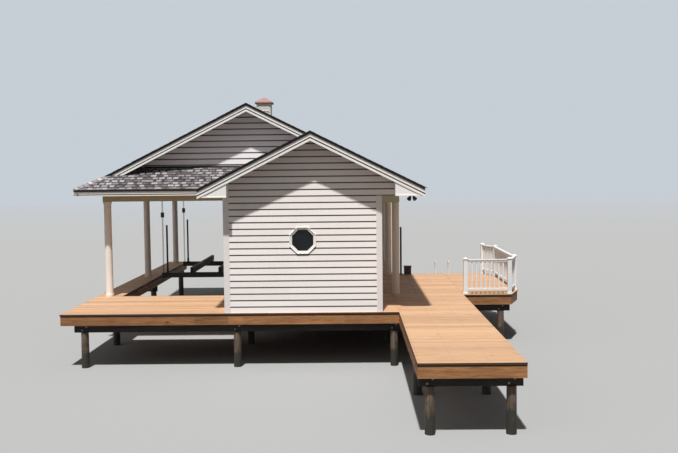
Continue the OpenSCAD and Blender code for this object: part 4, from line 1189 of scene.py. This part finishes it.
def layFlashing():
    bm = bmesh.new()
    show, out, apron, tuck = (flashing[key] for key in ("show", "out", "apron", "tuck"))
    sn, cs = math.sin(pitch), math.cos(pitch)
    run = gableLow.y - leftLow.y
    start, valleyX = leftLow.x + run + flashing["short"], porchLow.x + run
    for wall, way, x0, x1 in ((gableLow.y, -1, start, valleyX),
                              (gableHigh.y, 1, start, rightHigh.x - run - flashing["short"])):
        near, far = sorted((wall + way * hair, wall + way * out))
        addBox(bm, (x0, near, skirtTop), (x1, far, skirtTop + show + tuck))
        y, z = wall + way * apron * cs, skirtTop + flashing["rise"]
        foot = z - apron * sn
        outline = [(x0, wall, z), (x0, y, foot), (x0, y, foot + out), (x0, wall, z + out)]
        addPrism(bm, outline, (x1 - x0, 0, 0))
    start = Vector((valleyX, gableLow.y, skirtTop + flashing["valleyLift"]))
    along = Vector((cs, 0, sn)) * (frontMeet - tuck - valleyX) / cs
    up = zAxis * (2 * show + tuck)
    addPrism(bm, [start, start + along, start + along + up, start + up], (0, -out, 0))
    # The flashing's near-black finish is partly painted shade
    settle("wallFlashing", bm, "flashing")
    print("flashing laid")


# Window, door, cupola

def octagonLine(centre, across, y):
    radius = across / 2 / math.cos(math.pi / 8)
    turns = [math.pi / 8 + i * math.pi / 4 for i in range(8)]
    return [Vector((centre.x + radius * math.cos(a), y, centre.z + radius * math.sin(a))) for a in turns]


def addOctagonRing(bm, centre, outer, inner, y0, y1):
    lines = [octagonLine(centre, outer, y0), octagonLine(centre, inner, y0), octagonLine(centre, inner, y1),
             octagonLine(centre, outer, y1)]
    rings = [[bm.verts.new(p) for p in line] for line in lines]
    for ring, following in zip(rings, rings[1:] + rings[:1]):
        band(bm, ring, following)
    bmesh.ops.recalc_face_normals(bm, faces=bm.faces)


window = {"bead": 0.026, "lip": 0.020, "lap": 0.001, "glass": 0.508, "sight": 0.494, "sash": 0.024,
          "sashIn": 0.014}


def dressWindow():
    low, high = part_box("window_trim")
    centre, outer = (low + high) / 2, high.x - low.x
    easedNode("windowTrim", "window_trim", "trimPaint", edge=0.004)
    bm = bmesh.new()
    addOctagonRing(bm, centre, outer, outer - window["bead"], low.y - window["lip"], low.y + window["lap"])
    y = low.y + window["sashIn"]
    addOctagonRing(bm, centre, window["glass"], window["sight"], y, y + window["sash"])
    settle("windowSash", bm, "trimPaint", edge=0.002)
    print("window dressed")


# The knob's rose, neck and ball are given as how far each reaches out, and its radius
door = {"panels": ((0.14, 0.86), (1.02, 1.88)), "side": 0.14, "out": 0.006, "bevel": 0.05, "trim": 0.115,
        "wall": 0.12, "leaf": 0.045, "knobUp": 0.95, "knobIn": 0.07, "rose": (0.008, 0.032),
        "neck": (0.045, 0.011), "ball": (0.062, 0.028), "hinges": (0.25, 1.0, 1.78), "hingeIn": 0.004,
        "hinge": 0.007, "hingeHigh": 0.09}


def dressDoor():
    low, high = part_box("room_door")
    y0, y1 = low.y + door["trim"], high.y - door["trim"]
    face = roomHigh.x - door["wall"] + door["leaf"]
    bm = cadCopy("room_door")
    for z0, z1 in door["panels"]:
        for inner, back, out in ((0.0, 0.002, door["out"]), (door["bevel"], 0.0, 2 * door["out"])):
            side = door["side"] + inner
            foot, head = deckTop + z0 + inner, deckTop + z1 - inner
            addBox(bm, (face - back, y0 + side, foot), (face + out, y1 - side, head))
    settle("roomDoor", bm, "doorPaint", ("room_door",), edge=0.003)
    bm = bmesh.new()
    at = Vector((face, y0 + door["knobIn"], deckTop + door["knobUp"]))
    (rose, roseR), (neck, neckR), (ball, ballR) = door["rose"], door["neck"], door["ball"]
    addRod(bm, at, at + xAxis * rose, roseR, sides=20)
    addRod(bm, at + xAxis * rose, at + xAxis * neck, neckR, sides=14)
    matrix = Matrix.Translation(at + xAxis * ball)
    bmesh.ops.create_uvsphere(bm, u_segments=18, v_segments=10, radius=ballR, matrix=matrix)
    for up in door["hinges"]:
        foot = Vector((face + door["hingeIn"], y1 - door["hingeIn"], deckTop + up))
        addRod(bm, foot, foot + zAxis * door["hingeHigh"], door["hinge"], sides=10)
    settle("doorHardware", bm, "screwSteel", smooth=True)
    print("door dressed")


louvre = {"gap": 0.042, "width": 0.048, "thick": 0.004, "lift": 0.018, "length": 0.5, "off": 0.001,
          "finish": "cupolaPaint"}
cupola = {"down": (0.255, 0.04), "stile": 0.045, "out": 0.010, "foot": 0.06, "rail": 0.05, "skirt": 0.03,
          "skirtUp": (0.008, 0.07), "sideUp": 0.06, "eave": 0.025, "rib": 0.007, "ribFrom": 0.012,
          "ribTo": 0.03, "keep": 0.002, "drip": 0.012, "dripHigh": 0.018, "seam": 0.001}


def dressCupola():
    low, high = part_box("cupola_body")
    bm, parts = cadCopy("cupola_body"), []
    stile, wide = cupola["stile"], high.x - low.x
    z0, z1 = (high.z - down for down in cupola["down"])
    foot, head, sill = low.z + cupola["foot"], high.z - cupola["seam"], z0 - cupola["rail"]
    sides = [((low.x, low.y, 0), xAxis, -yAxis), ((high.x, low.y, 0), yAxis, xAxis),
             ((high.x, high.y, 0), -xAxis, yAxis), ((low.x, high.y, 0), -yAxis, -xAxis)]
    for count, (corner, along, face) in enumerate(sides):
        def onFace(a0, a1, b0, b1):
            return [Vector(corner) + along * a + zAxis * b for a, b in rectangle(a0, a1, b0, b1)]
        from0 = max(foot, sill) if face.y else foot    # at the two sides the roof is lower
        for a0, a1, b0, b1 in ((0, stile, from0, head), (wide - stile, wide, from0, head),
                               (stile, wide - stile, sill, z0), (stile, wide - stile, z1, head)):
            addPrism(bm, onFace(a0, a1, b0, b1), face * cupola["out"])
        parts.append(layRows(louvre, onFace(stile, wide - stile, z0, z1), along, zAxis, seed=91 + count))
    settle("cupolaBody", bm, "cupolaPaint", ("cupola_body",), edge=0.002)
    gather("cupolaLouvres", parts, "cupolaPaint")
    skirtCupola(low, high)
    roofCupola()
    print("cupola dressed")


def skirtCupola(low, high):
    bm = bmesh.new()
    out, seam = cupola["skirt"], cupola["seam"]
    for x0, x1 in ((low.x - out, ridgeX), (ridgeX, high.x + out)):
        for y0, y1 in ((low.y - out, low.y - seam), (high.y + seam, high.y + out)):
            outline = [(x, y0, mainTop(x) + up) for x, up in rectangle(x0, x1, *cupola["skirtUp"])]
            addPrism(bm, outline, (0, y1 - y0, 0))
    for x0, x1 in ((low.x - out, low.x - seam), (high.x + seam, high.x + out)):
        z0, z1 = mainTop(x0) - cupola["skirtUp"][0], mainTop(x0) + cupola["sideUp"]
        addBox(bm, (x0, low.y - out, z0), (x1, high.y + out, z1))
    settle("cupolaFlashing", bm, "trimPaint", edge=0.003)


def roofCupola():
    low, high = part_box("cupola_roof")
    bm = cadCopy("cupola_roof")
    apex = Vector(((low.x + high.x) / 2, (low.y + high.y) / 2, high.z))
    for x in (low.x, high.x):
        for y in (low.y, high.y):
            corner = Vector((x, y, low.z + cupola["eave"]))
            inwards = (apex - corner).normalized()
            foot, head = corner + inwards * cupola["ribFrom"], apex - inwards * cupola["ribTo"]
            addRod(bm, foot, head, cupola["rib"], sides=8)
    settle("cupolaRoof", bm, "cupolaMetal", ("cupola_roof",), edge=0.0015)
    bm = bmesh.new()
    keep, drip = cupola["keep"], cupola["drip"]
    for x0, y0, x1, y1 in ((low.x + keep, low.y + keep, high.x - keep, low.y + drip),
                           (low.x + keep, high.y - drip, high.x - keep, high.y - keep),
                           (low.x + keep, low.y + drip, low.x + drip, high.y - drip),
                           (high.x - drip, low.y + drip, high.x - keep, high.y - drip)):
        addBox(bm, (x0, y0, low.z - cupola["dripHigh"]), (x1, y1, low.z - hair))
    settle("cupolaDrip", bm, "dripEdgeAndShadeDark")


# Frames, posts, beams and piles

# Where the rim boards are butted, from the room's front left corner
rimJoints = {"x": (-0.725, 0.065, 2.785), "y": (-3.215, -1.015, 5.085, 8.885)}


def dressFrames():
    bm = cadCopy("deck_frames")
    jointX = [roomLow.x + along for along in rimJoints["x"]]
    jointY = [frontLow.y + along for along in rimJoints["y"]]
    for at, way in [((x, 0, 0), xAxis) for x in jointX] + [((0, y, 0), yAxis) for y in jointY]:
        bmesh.ops.bisect_plane(bm, geom=bm.verts[:] + bm.edges[:] + bm.faces[:], plane_co=at, plane_no=way)
    tone = bm.faces.layers.float.new("tone")
    for face in bm.faces:
        spot = face.calc_center_median()
        a = sum(spot.x > x for x in jointX)
        b = sum(spot.y > y for y in jointY)
        face[tone] = (0.37 * a + 0.61 * b + 0.23 * round(spot.x)) % 1.0    # neighbours differ
    settle("deckFrames", bm, "rimWood", ("deck_frames",))
    easedNode("girderTimbers", "girders", "girderWood", edge=0.005)
    turnPosts()
    easedNode("sideBeams", "side_beams", "beamPaint", edge=0.004)
    easedNode("headerBeams", "header_beams", "beamPaint", edge=0.004)
    easedNode("cornerBoards", "corner_boards", "cornerPaint", edge=0.003)
    print("frames and posts dressed")


def islands(bm):
    left, found = set(bm.verts), []
    while left:
        stack, group = [left.pop()], []
        while stack:
            vert = stack.pop()
            group.append(vert)
            for edge in vert.link_edges:
                other = edge.other_vert(vert)
                if other in left:
                    left.remove(other)
                    stack.append(other)
        xs, ys = [v.co.x for v in group], [v.co.y for v in group]
        found.append(((min(xs) + max(xs)) / 2, (min(ys) + max(ys)) / 2, (max(xs) - min(xs)) / 2))
    return sorted(found)


# Radius and height above the foot, then radius and depth below the top
postTurning = {
    "sides": 40,
    "foot": ((0.112, 0.0005), (0.112, 0.034), (0.107, 0.039), (0.111, 0.045), (0.112, 0.054), (0.110, 0.063),
             (0.104, 0.069), (0.104, 0.075), (0.101, 0.084), (0.0995, 0.10)),
    "head": ((0.096, 0.165), (0.101, 0.161), (0.103, 0.154), (0.101, 0.147), (0.096, 0.143), (0.096, 0.086),
             (0.101, 0.083), (0.101, 0.077), (0.104, 0.070), (0.110, 0.062), (0.112, 0.052), (0.112, 0.0005))}


def turnPosts():
    low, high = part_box("roof_posts")
    profile = [(r, low.z + up) for r, up in postTurning["foot"]]
    profile += [(r, high.z - down) for r, down in postTurning["head"]]
    turns = [2 * math.pi * i / postTurning["sides"] for i in range(postTurning["sides"])]
    spots = spotsOf("roof_posts")
    bm = bmesh.new()
    for x, y, _ in spots:
        rings = [[(x + r * math.cos(a), y + r * math.sin(a), z) for a in turns] for r, z in profile]
        skin(bm, [[bm.verts.new(spot) for spot in ring] for ring in rings])
    settle("roofPosts", bm, "postPaint", ("roof_posts",), smooth=True)
    print("posts turned:", len(spots))


log = {"sides": 22, "levels": 12, "rough": 0.012, "taper": 0.07}


def dressPiles(spots):
    chance = random.Random(7)
    low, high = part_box("piles")
    bm = bmesh.new()
    for x, y, radius in spots:
        phase = [chance.uniform(0, 2 * math.pi) for _ in range(4)]    # the fourth only keeps the later draws
        flats = [chance.uniform(-1, 1) for _ in range(log["sides"])]
        rings = []
        for level in range(log["levels"] + 1):
            t = level / log["levels"]
            z = low.z + t * (high.z - low.z)
            ring = []
            for side, flat in enumerate(flats):
                turn = 2 * math.pi * side / log["sides"]
                swell = math.sin(2 * turn + phase[0]) * 0.5 + math.sin(3 * turn + 4 * t + phase[1]) * 0.35
                knot = 0.5 * flat + 0.4 * math.sin(9 * t + phase[2] + 5 * flat)
                r = radius * (1 - log["taper"] * t) - log["rough"] * (1 + 0.5 * swell + 0.3 * knot) * 0.5
                ring.append(bm.verts.new((x + r * math.cos(turn), y + r * math.sin(turn), z)))
            rings.append(ring)
        skin(bm, rings)
    settle("pileLogs", bm, "pileWood", ("piles",), smooth=True)
    print("piles dressed:", len(spots))


# Fasteners

def makeFasteners():
    tree, given, out = newShape(
        "fasteners", {"Points": "NodeSocketGeometry", "Radius": 0.005, "Height": 0.002, "Sides": 6})
    aim = put(tree, "GeometryNodeInputNamedAttribute", {"Name": "aim"}, data_type="FLOAT_VECTOR").outputs[0]
    turn = put(tree, "FunctionNodeAlignRotationToVector", {"Vector": aim}, axis="Z").outputs[0]
    values = {"Vertices": given["Sides"], "Radius": given["Radius"], "Depth": given["Height"]}
    head = put(tree, "GeometryNodeMeshCylinder", values).outputs[0]
    return closeShape(tree, instanced(tree, given["Points"], head, turn), given, out)


def drive(tree, name, spots, look):
    host = bpy.data.meshes.new(name + "Points")
    host.from_pydata([p for p, _ in spots], [], [])
    aim = host.attributes.new("aim", "FLOAT_VECTOR", "POINT")
    aim.data.foreach_set("vector", [c for _, way in spots for c in way])
    inputs = {"Radius": look["radius"], "Height": look["height"], "Sides": look["sides"],
              "Material": material["screwSteel"]}
    placed(linked(name, baked(tree, inputs, host)))


joistGap = 0.61
screw = {"radius": 0.005, "height": 0.002, "sides": 6, "inset": 0.030, "end": 0.035, "clear": 0.03}
bolt = {"radius": 0.012, "height": 0.010, "sides": 6, "places": ((-0.05, 0.28), (0.05, 0.72)), "reach": 0.3}
washer = {"radius": 0.020, "height": 0.003, "sides": 16}


def driveScrews(tree):
    spots = []
    for node in deckJoint:
        low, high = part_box(node)
        bays = max(1, round((high.x - low.x) / joistGap))
        span = high.x - low.x - 2 * screw["end"]
        rows, step = deckRows(low, high)
        for row in range(rows):
            for side in (screw["inset"], decking["width"] - screw["inset"]):
                y = low.y + row * step + side
                for bay in range(bays + 1):
                    x = low.x + screw["end"] + span * bay / bays
                    if node == "landing_deck" and not insideLanding(x + screw["clear"], y, low, high):
                        continue
                    spots.append(((x, y, deckTop + touch), (0, 0, 1)))
    drive(tree, "deckScrews", spots, screw)
    print("screws driven:", len(spots))


def insideLanding(x, y, low, high):
    corners = landingCorners(low, high)
    pairs = zip(corners, corners[1:] + corners[:1])
    return all((b[0] - a[0]) * (y - a[1]) - (b[1] - a[1]) * (x - a[0]) >= 0 for a, b in pairs)


def driveBolts(tree, piles):
    girders = cadCopy("girders")
    ys = sorted({round(f.calc_center_median().y, 3) for f in girders.faces if f.normal.y < -squareOn})
    girders.free()
    low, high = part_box("girders")
    heads, washers = [], []
    for x, y, _ in piles:
        face = max((g for g in ys if g < y), default=None)
        if face is None or y - face > bolt["reach"]:
            continue
        for dx, up in bolt["places"]:
            z = low.z + (high.z - low.z) * up
            washers.append(((x + dx, face - washer["height"] / 2, z), (0, -1, 0)))
            heads.append(((x + dx, face - washer["height"] - bolt["height"] / 2, z), (0, -1, 0)))
    drive(tree, "girderBolts", heads, bolt)
    drive(tree, "girderWashers", washers, washer)
    print("bolts driven:", len(heads))


# Boat lift

def makeWindings():
    tree, given, out = newShape("windings", {"Turns": 6.0, "Radius": 0.04, "Width": 0.08, "Wire": 0.004})
    values = {"Resolution": 20, "Rotations": given["Turns"], "Start Radius": given["Radius"],
              "End Radius": given["Radius"], "Height": given["Width"]}
    line = put(tree, "GeometryNodeCurveSpiral", values).outputs[0]
    ring = put(tree, "GeometryNodeCurvePrimitiveCircle", {"Resolution": 6, 4: given["Wire"]}).outputs[0]
    values = {"Curve": line, "Profile Curve": ring, "Fill Caps": True}
    return closeShape(tree, put(tree, "GeometryNodeCurveToMesh", values).outputs[0], given, out)


lift = {"beamHalf": 0.045, "bunkHalf": 0.05, "plate": 0.006, "plateHigh": 0.13, "reach": 0.08}
guidePipe = {"collar": 0.03, "cap": 0.012, "wider": 1.12, "tip": 0.5, "socketUp": 0.14, "socketOut": 0.008,
             "foot": (0.07, 0.045, 0.008)}
# A block's half width, half depth and wheel, and where it hangs. The cables run as two strands each.
hoist = {"block": (0.049, 0.034, 0.042), "hangs": (3.19, 3.35), "cheek": 0.008, "play": 0.010, "pin": 0.012,
         "bolt": 0.008, "rope": 0.0065, "strand": 0.013, "half": 0.05, "shaftUp": 3.91}
winding = {"Turns": 7.0, "Radius": 0.036, "Width": 0.10, "Wire": 0.005}
ropeSteps = 12


def dressLift():
    easedNode("liftBeams", "lift_beams", "liftSteel", edge=0.002, body="cradle")
    easedNode("liftBunks", "lift_bunks", "bunkCarpet", edge=0.012, body="cradle")
    beamLow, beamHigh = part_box("lift_beams")
    bunkLow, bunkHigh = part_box("lift_bunks")
    half, bunkHalf = lift["beamHalf"], lift["bunkHalf"]
    beamY = (beamLow.y + half, beamHigh.y - half)
    bm = bmesh.new()
    for x in (bunkLow.x + bunkHalf, bunkHigh.x - bunkHalf):
        for y in beamY:
            for side in (-1, 1):
                face = x + side * bunkHalf
                for reach, up in ((lift["plate"], lift["plateHigh"]), (lift["reach"], lift["plate"])):
                    near, far = sorted((face, face + side * reach))
                    addBox(bm, (near, y - half, beamHigh.z + hair), (far, y + half, beamHigh.z + up))
    settle("bunkBrackets", bm, "liftSteel", edge=0.001, body="cradle")
    low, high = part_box("guide_poles")
    bm, sockets = bmesh.new(), bmesh.new()
    dx, dy, dz = guidePipe["foot"]
    for x, y, radius in spotsOf("guide_poles"):
        addPole(bm, x, y, low.z, high.z, radius, guidePipe)
        top = low.z + guidePipe["socketUp"]
        addRod(sockets, (x, y, low.z + hair), (x, y, top), radius + guidePipe["socketOut"], sides=20)
        addBox(sockets, (x - dx, y - dy, low.z + hair), (x + dx, y + dy, low.z + dz))
    settle("guidePoles", bm, "blackPipe", ("guide_poles",), smooth=True, body="cradle")
    settle("poleSockets", sockets, "liftSteel", smooth=True, body="cradle")
    dressHoist(beamY)


def addBlock(bm, x, y):
    w, d, wheel = hoist["block"]
    z0, z1 = hoist["hangs"]
    mid = (z0 + z1) / 2
    cheek, play, pin, screwIn = hoist["cheek"], hoist["play"], hoist["pin"], hoist["bolt"]
    for side in (-1, 1):
        near, far = sorted((y + side * d, y + side * (d - cheek)))
        addBox(bm, (x - w, near, z0), (x + w, far, z1))
    addRod(bm, (x, y - d + play, mid), (x, y + d - play, mid), wheel, sides=24)
    addRod(bm, (x, y - d - cheek, mid), (x, y + d + cheek, mid), pin, sides=12)
    for up in (z0 + pin, z1 - pin):
        addRod(bm, (x - w + play, y, up), (x + w - play, y, up), screwIn, sides=10)


def dressHoist(beamY):
    cableLow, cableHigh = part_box("hoist_cables")
    top, foot = cableHigh.z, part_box("lift_beams")[1].z
    levels = [foot + (top - foot) * i / ropeSteps for i in range(ropeSteps + 1)]
    easedNode("hoistShafts", "hoist_shafts", "liftSteel", edge=0.002)
    half = hoist["half"]
    ropes, blocks, windings = bmesh.new(), bmesh.new(), bmesh.new()
    tree = makeWindings()
    inputs = dict(winding, Material=material["ropeSteel"])
    for x in (cableLow.x + half, cableHigh.x - half):
        for y in beamY:
            for at in (x - hoist["strand"], x + hoist["strand"]):
                for a, b in zip(levels, levels[1:]):
                    addRod(ropes, (at, y, a), (at, y, b), hoist["rope"], sides=8)
            addBlock(blocks, x, y)
            place = (x, y + winding["Width"] / 2, hoist["shaftUp"])
            bakedPart(tree, inputs, place, (xAxis, zAxis, -yAxis), windings)
    bmesh.ops.remove_doubles(ropes, verts=ropes.verts, dist=0.0001)
    flat = [f for f in ropes.faces if abs(f.normal.z) > squareOn]
    caps = [f for f in flat if foot + 0.01 < f.calc_center_median().z < top - 0.01]
    bmesh.ops.delete(ropes, geom=caps, context="FACES_ONLY")
    mesh = bpy.data.meshes.new("hoistRopes")
    ropes.to_mesh(mesh)
    ropes.free()
    made = linked("hoistRopes", mesh, "ropeSteel")
    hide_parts("hoist_cables")
    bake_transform(made)
    settle("hoistBlocks", blocks, "liftSteel", smooth=True)
    settle("drumWindings", windings, "ropeSteel", smooth=True)
    print("lift dressed")


# Railing and fittings

railPost = {"cap": 0.032, "capIn": 0.012, "skirt": 0.05}
rails = {"near_rail": "nearRail", "outer_rail": "outerRail", "corner_rails": "cornerRails"}


def dressRailing():
    bm = cadCopy("rail_posts")
    low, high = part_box("rail_posts")
    for x, y, half in islands(bm):
        apex = bm.verts.new((x, y, high.z + railPost["cap"]))
        r = half - railPost["capIn"]
        ring = [bm.verts.new((a, b, high.z + hair)) for a, b in rectangle(x - r, x + r, y - r, y + r)]
        for i in range(4):
            bm.faces.new((ring[i], ring[(i + 1) % 4], apex))
        bm.faces.new(ring[::-1])
        addBox(bm, (x - half, y - half, low.z + hair), (x + half, y + half, low.z + railPost["skirt"]))
    settle("railPosts", bm, "railVinyl", ("rail_posts",), edge=0.003)
    for node, name in rails.items():
        bm = cadCopy(node)
        addRailCaps(bm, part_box(node)[1].z)
        settle(name, bm, "railVinyl", (node,), edge=0.003)
    print("railing dressed")


railCap = {"out": 0.014, "high": 0.026, "short": 0.002, "seam": 0.0003}


def addRailCaps(bm, top):
    flats = [f for f in bm.faces if f.normal.z > squareOn and abs(f.calc_center_median().z - top) < 0.001]
    for flat in flats:
        longest = max(flat.edges, key=lambda e: e.calc_length())
        along = (longest.verts[1].co - longest.verts[0].co).normalized()
        across = zAxis.cross(along)
        middle = flat.calc_center_median()
        reach = [(v.co - middle).dot(along) for v in flat.verts]
        width = [(v.co - middle).dot(across) for v in flat.verts]
        corners = rectangle(min(reach) + railCap["short"], max(reach) - railCap["short"],
                            min(width) - railCap["out"], max(width) + railCap["out"])
        outline = [middle + along * a + across * b + zAxis * railCap["seam"] for a, b in corners]
        addPrism(bm, outline, (0, 0, railCap["high"]))


mooring = {"collar": 0.04, "cap": 0.015, "wider": 1.1, "tip": 0.4, "flangeHigh": 0.02, "flange": 2.1}
dockBox = {"lid": 0.05, "lap": 0.008, "seam": 0.004, "panelIn": (0.02, 0.03), "panelOut": 0.006,
           "latchHalf": 0.02, "latchOut": 0.008, "latchUp": (-0.02, 0.035)}
# The two lamps spread to both sides of the base. A head is given by its back's and its front's radius.
lamps = {"base": 0.058, "baseHigh": 0.030, "apart": 0.025, "arm": (0.012, -0.010, -0.018), "neck": 0.014,
         "aim": (0.42, -0.62, -0.66), "back": 0.03, "long": 0.085, "head": (0.040, 0.052), "lens": 0.004}


def dressFittings():
    low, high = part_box("mooring_pole")
    x, y, radius = (low.x + high.x) / 2, (low.y + high.y) / 2, (high.x - low.x) / 2
    bm = bmesh.new()
    addPole(bm, x, y, low.z, high.z, radius, mooring)
    flange = radius * mooring["flange"]
    addRod(bm, (x, y, low.z + hair), (x, y, low.z + mooring["flangeHigh"]), flange, sides=24)
    settle("mooringPole", bm, "blackPipe", ("mooring_pole",), smooth=True)
    dressDockBox()
    easedNode("dockLadder", "dock_ladder", "ladderPaint", smooth=True)
    dressLamps()
    print("fittings dressed")


def dressDockBox():
    low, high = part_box("dock_box")
    lap, lid = dockBox["lap"], high.z - dockBox["lid"]
    inX, inZ = dockBox["panelIn"]
    middle, half = (low.x + high.x) / 2, dockBox["latchHalf"]
    latchLow, latchHigh = dockBox["latchUp"]
    bm = bmesh.new()
    addBox(bm, low, (high.x, high.y, lid - dockBox["seam"]))
    addBox(bm, (low.x - lap, low.y - lap, lid), (high.x + lap, high.y + lap, high.z))
    addBox(bm, (low.x + inX, low.y - dockBox["panelOut"], low.z + inZ), (high.x - inX, low.y, lid - inZ))
    addBox(bm, (middle - half, low.y - lap - dockBox["latchOut"], lid + latchLow),
           (middle + half, low.y - lap, lid + latchHigh))
    settle("dockBox", bm, "boxPlastic", ("dock_box",), edge=0.006)


def dressLamps():
    low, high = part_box("floodlight")
    x, y, foot = (low.x + high.x) / 2, (low.y + high.y) / 2, high.z - lamps["baseHigh"]
    narrow, broad = lamps["head"]
    bm, lens = bmesh.new(), bmesh.new()
    addRod(bm, (x, y, foot), (x, y, high.z), lamps["base"], sides=24)
    for side in (-1, 1):
        flip = Vector((side, 1, 1))
        start = Vector((x + side * lamps["apart"], y, foot))
        joint = start + Vector(lamps["arm"]) * flip
        aim = (Vector(lamps["aim"]) * flip).normalized()
        back, front = joint + aim * lamps["back"], joint + aim * lamps["long"]
        addRod(bm, start, joint, lamps["neck"], sides=12)
        addRod(bm, joint, back, narrow * 0.6, sides=24, endRadius=narrow)
        addRod(bm, back, front, narrow, sides=24, endRadius=broad)
        addRod(lens, front, joint + aim * (lamps["long"] + lamps["lens"]), broad * 0.9, sides=24)
    settle("floodlightHeads", bm, "lampBlack", ("floodlight",), smooth=True)
    settle("floodlightLens", lens, "windowGlass", smooth=True)


plainNodes = {"slabEdge": ("roof_right", "roof_left", "front_roof_left", "skirt_roofs"),
              "sidingPaint": ("front_wall", "side_walls", "back_wall"), "skyTintGablePaint": ("gable_walls",),
              "soffitPaint": ("ceiling", "soffits"), "windowGlass": ("window_glass",)}


def paintNodes():
    for finish, names in plainNodes.items():
        for node in names:
            materials = nodes[node].data.materials
            materials.clear()
            materials.append(material[finish])


makeFinishes()
setStudio()
paintNodes()
layDecks()
laySiding()
layShingles()
layCaps()
layLinings()
layFascias()
layRakes()
layFlashing()
dressWindow()
dressDoor()
dressCupola()
dressFrames()
piles = spotsOf("piles")
dressPiles(piles)
fasteners = makeFasteners()
driveScrews(fasteners)
driveBolts(fasteners, piles)
dressLift()
dressRailing()
dressFittings()
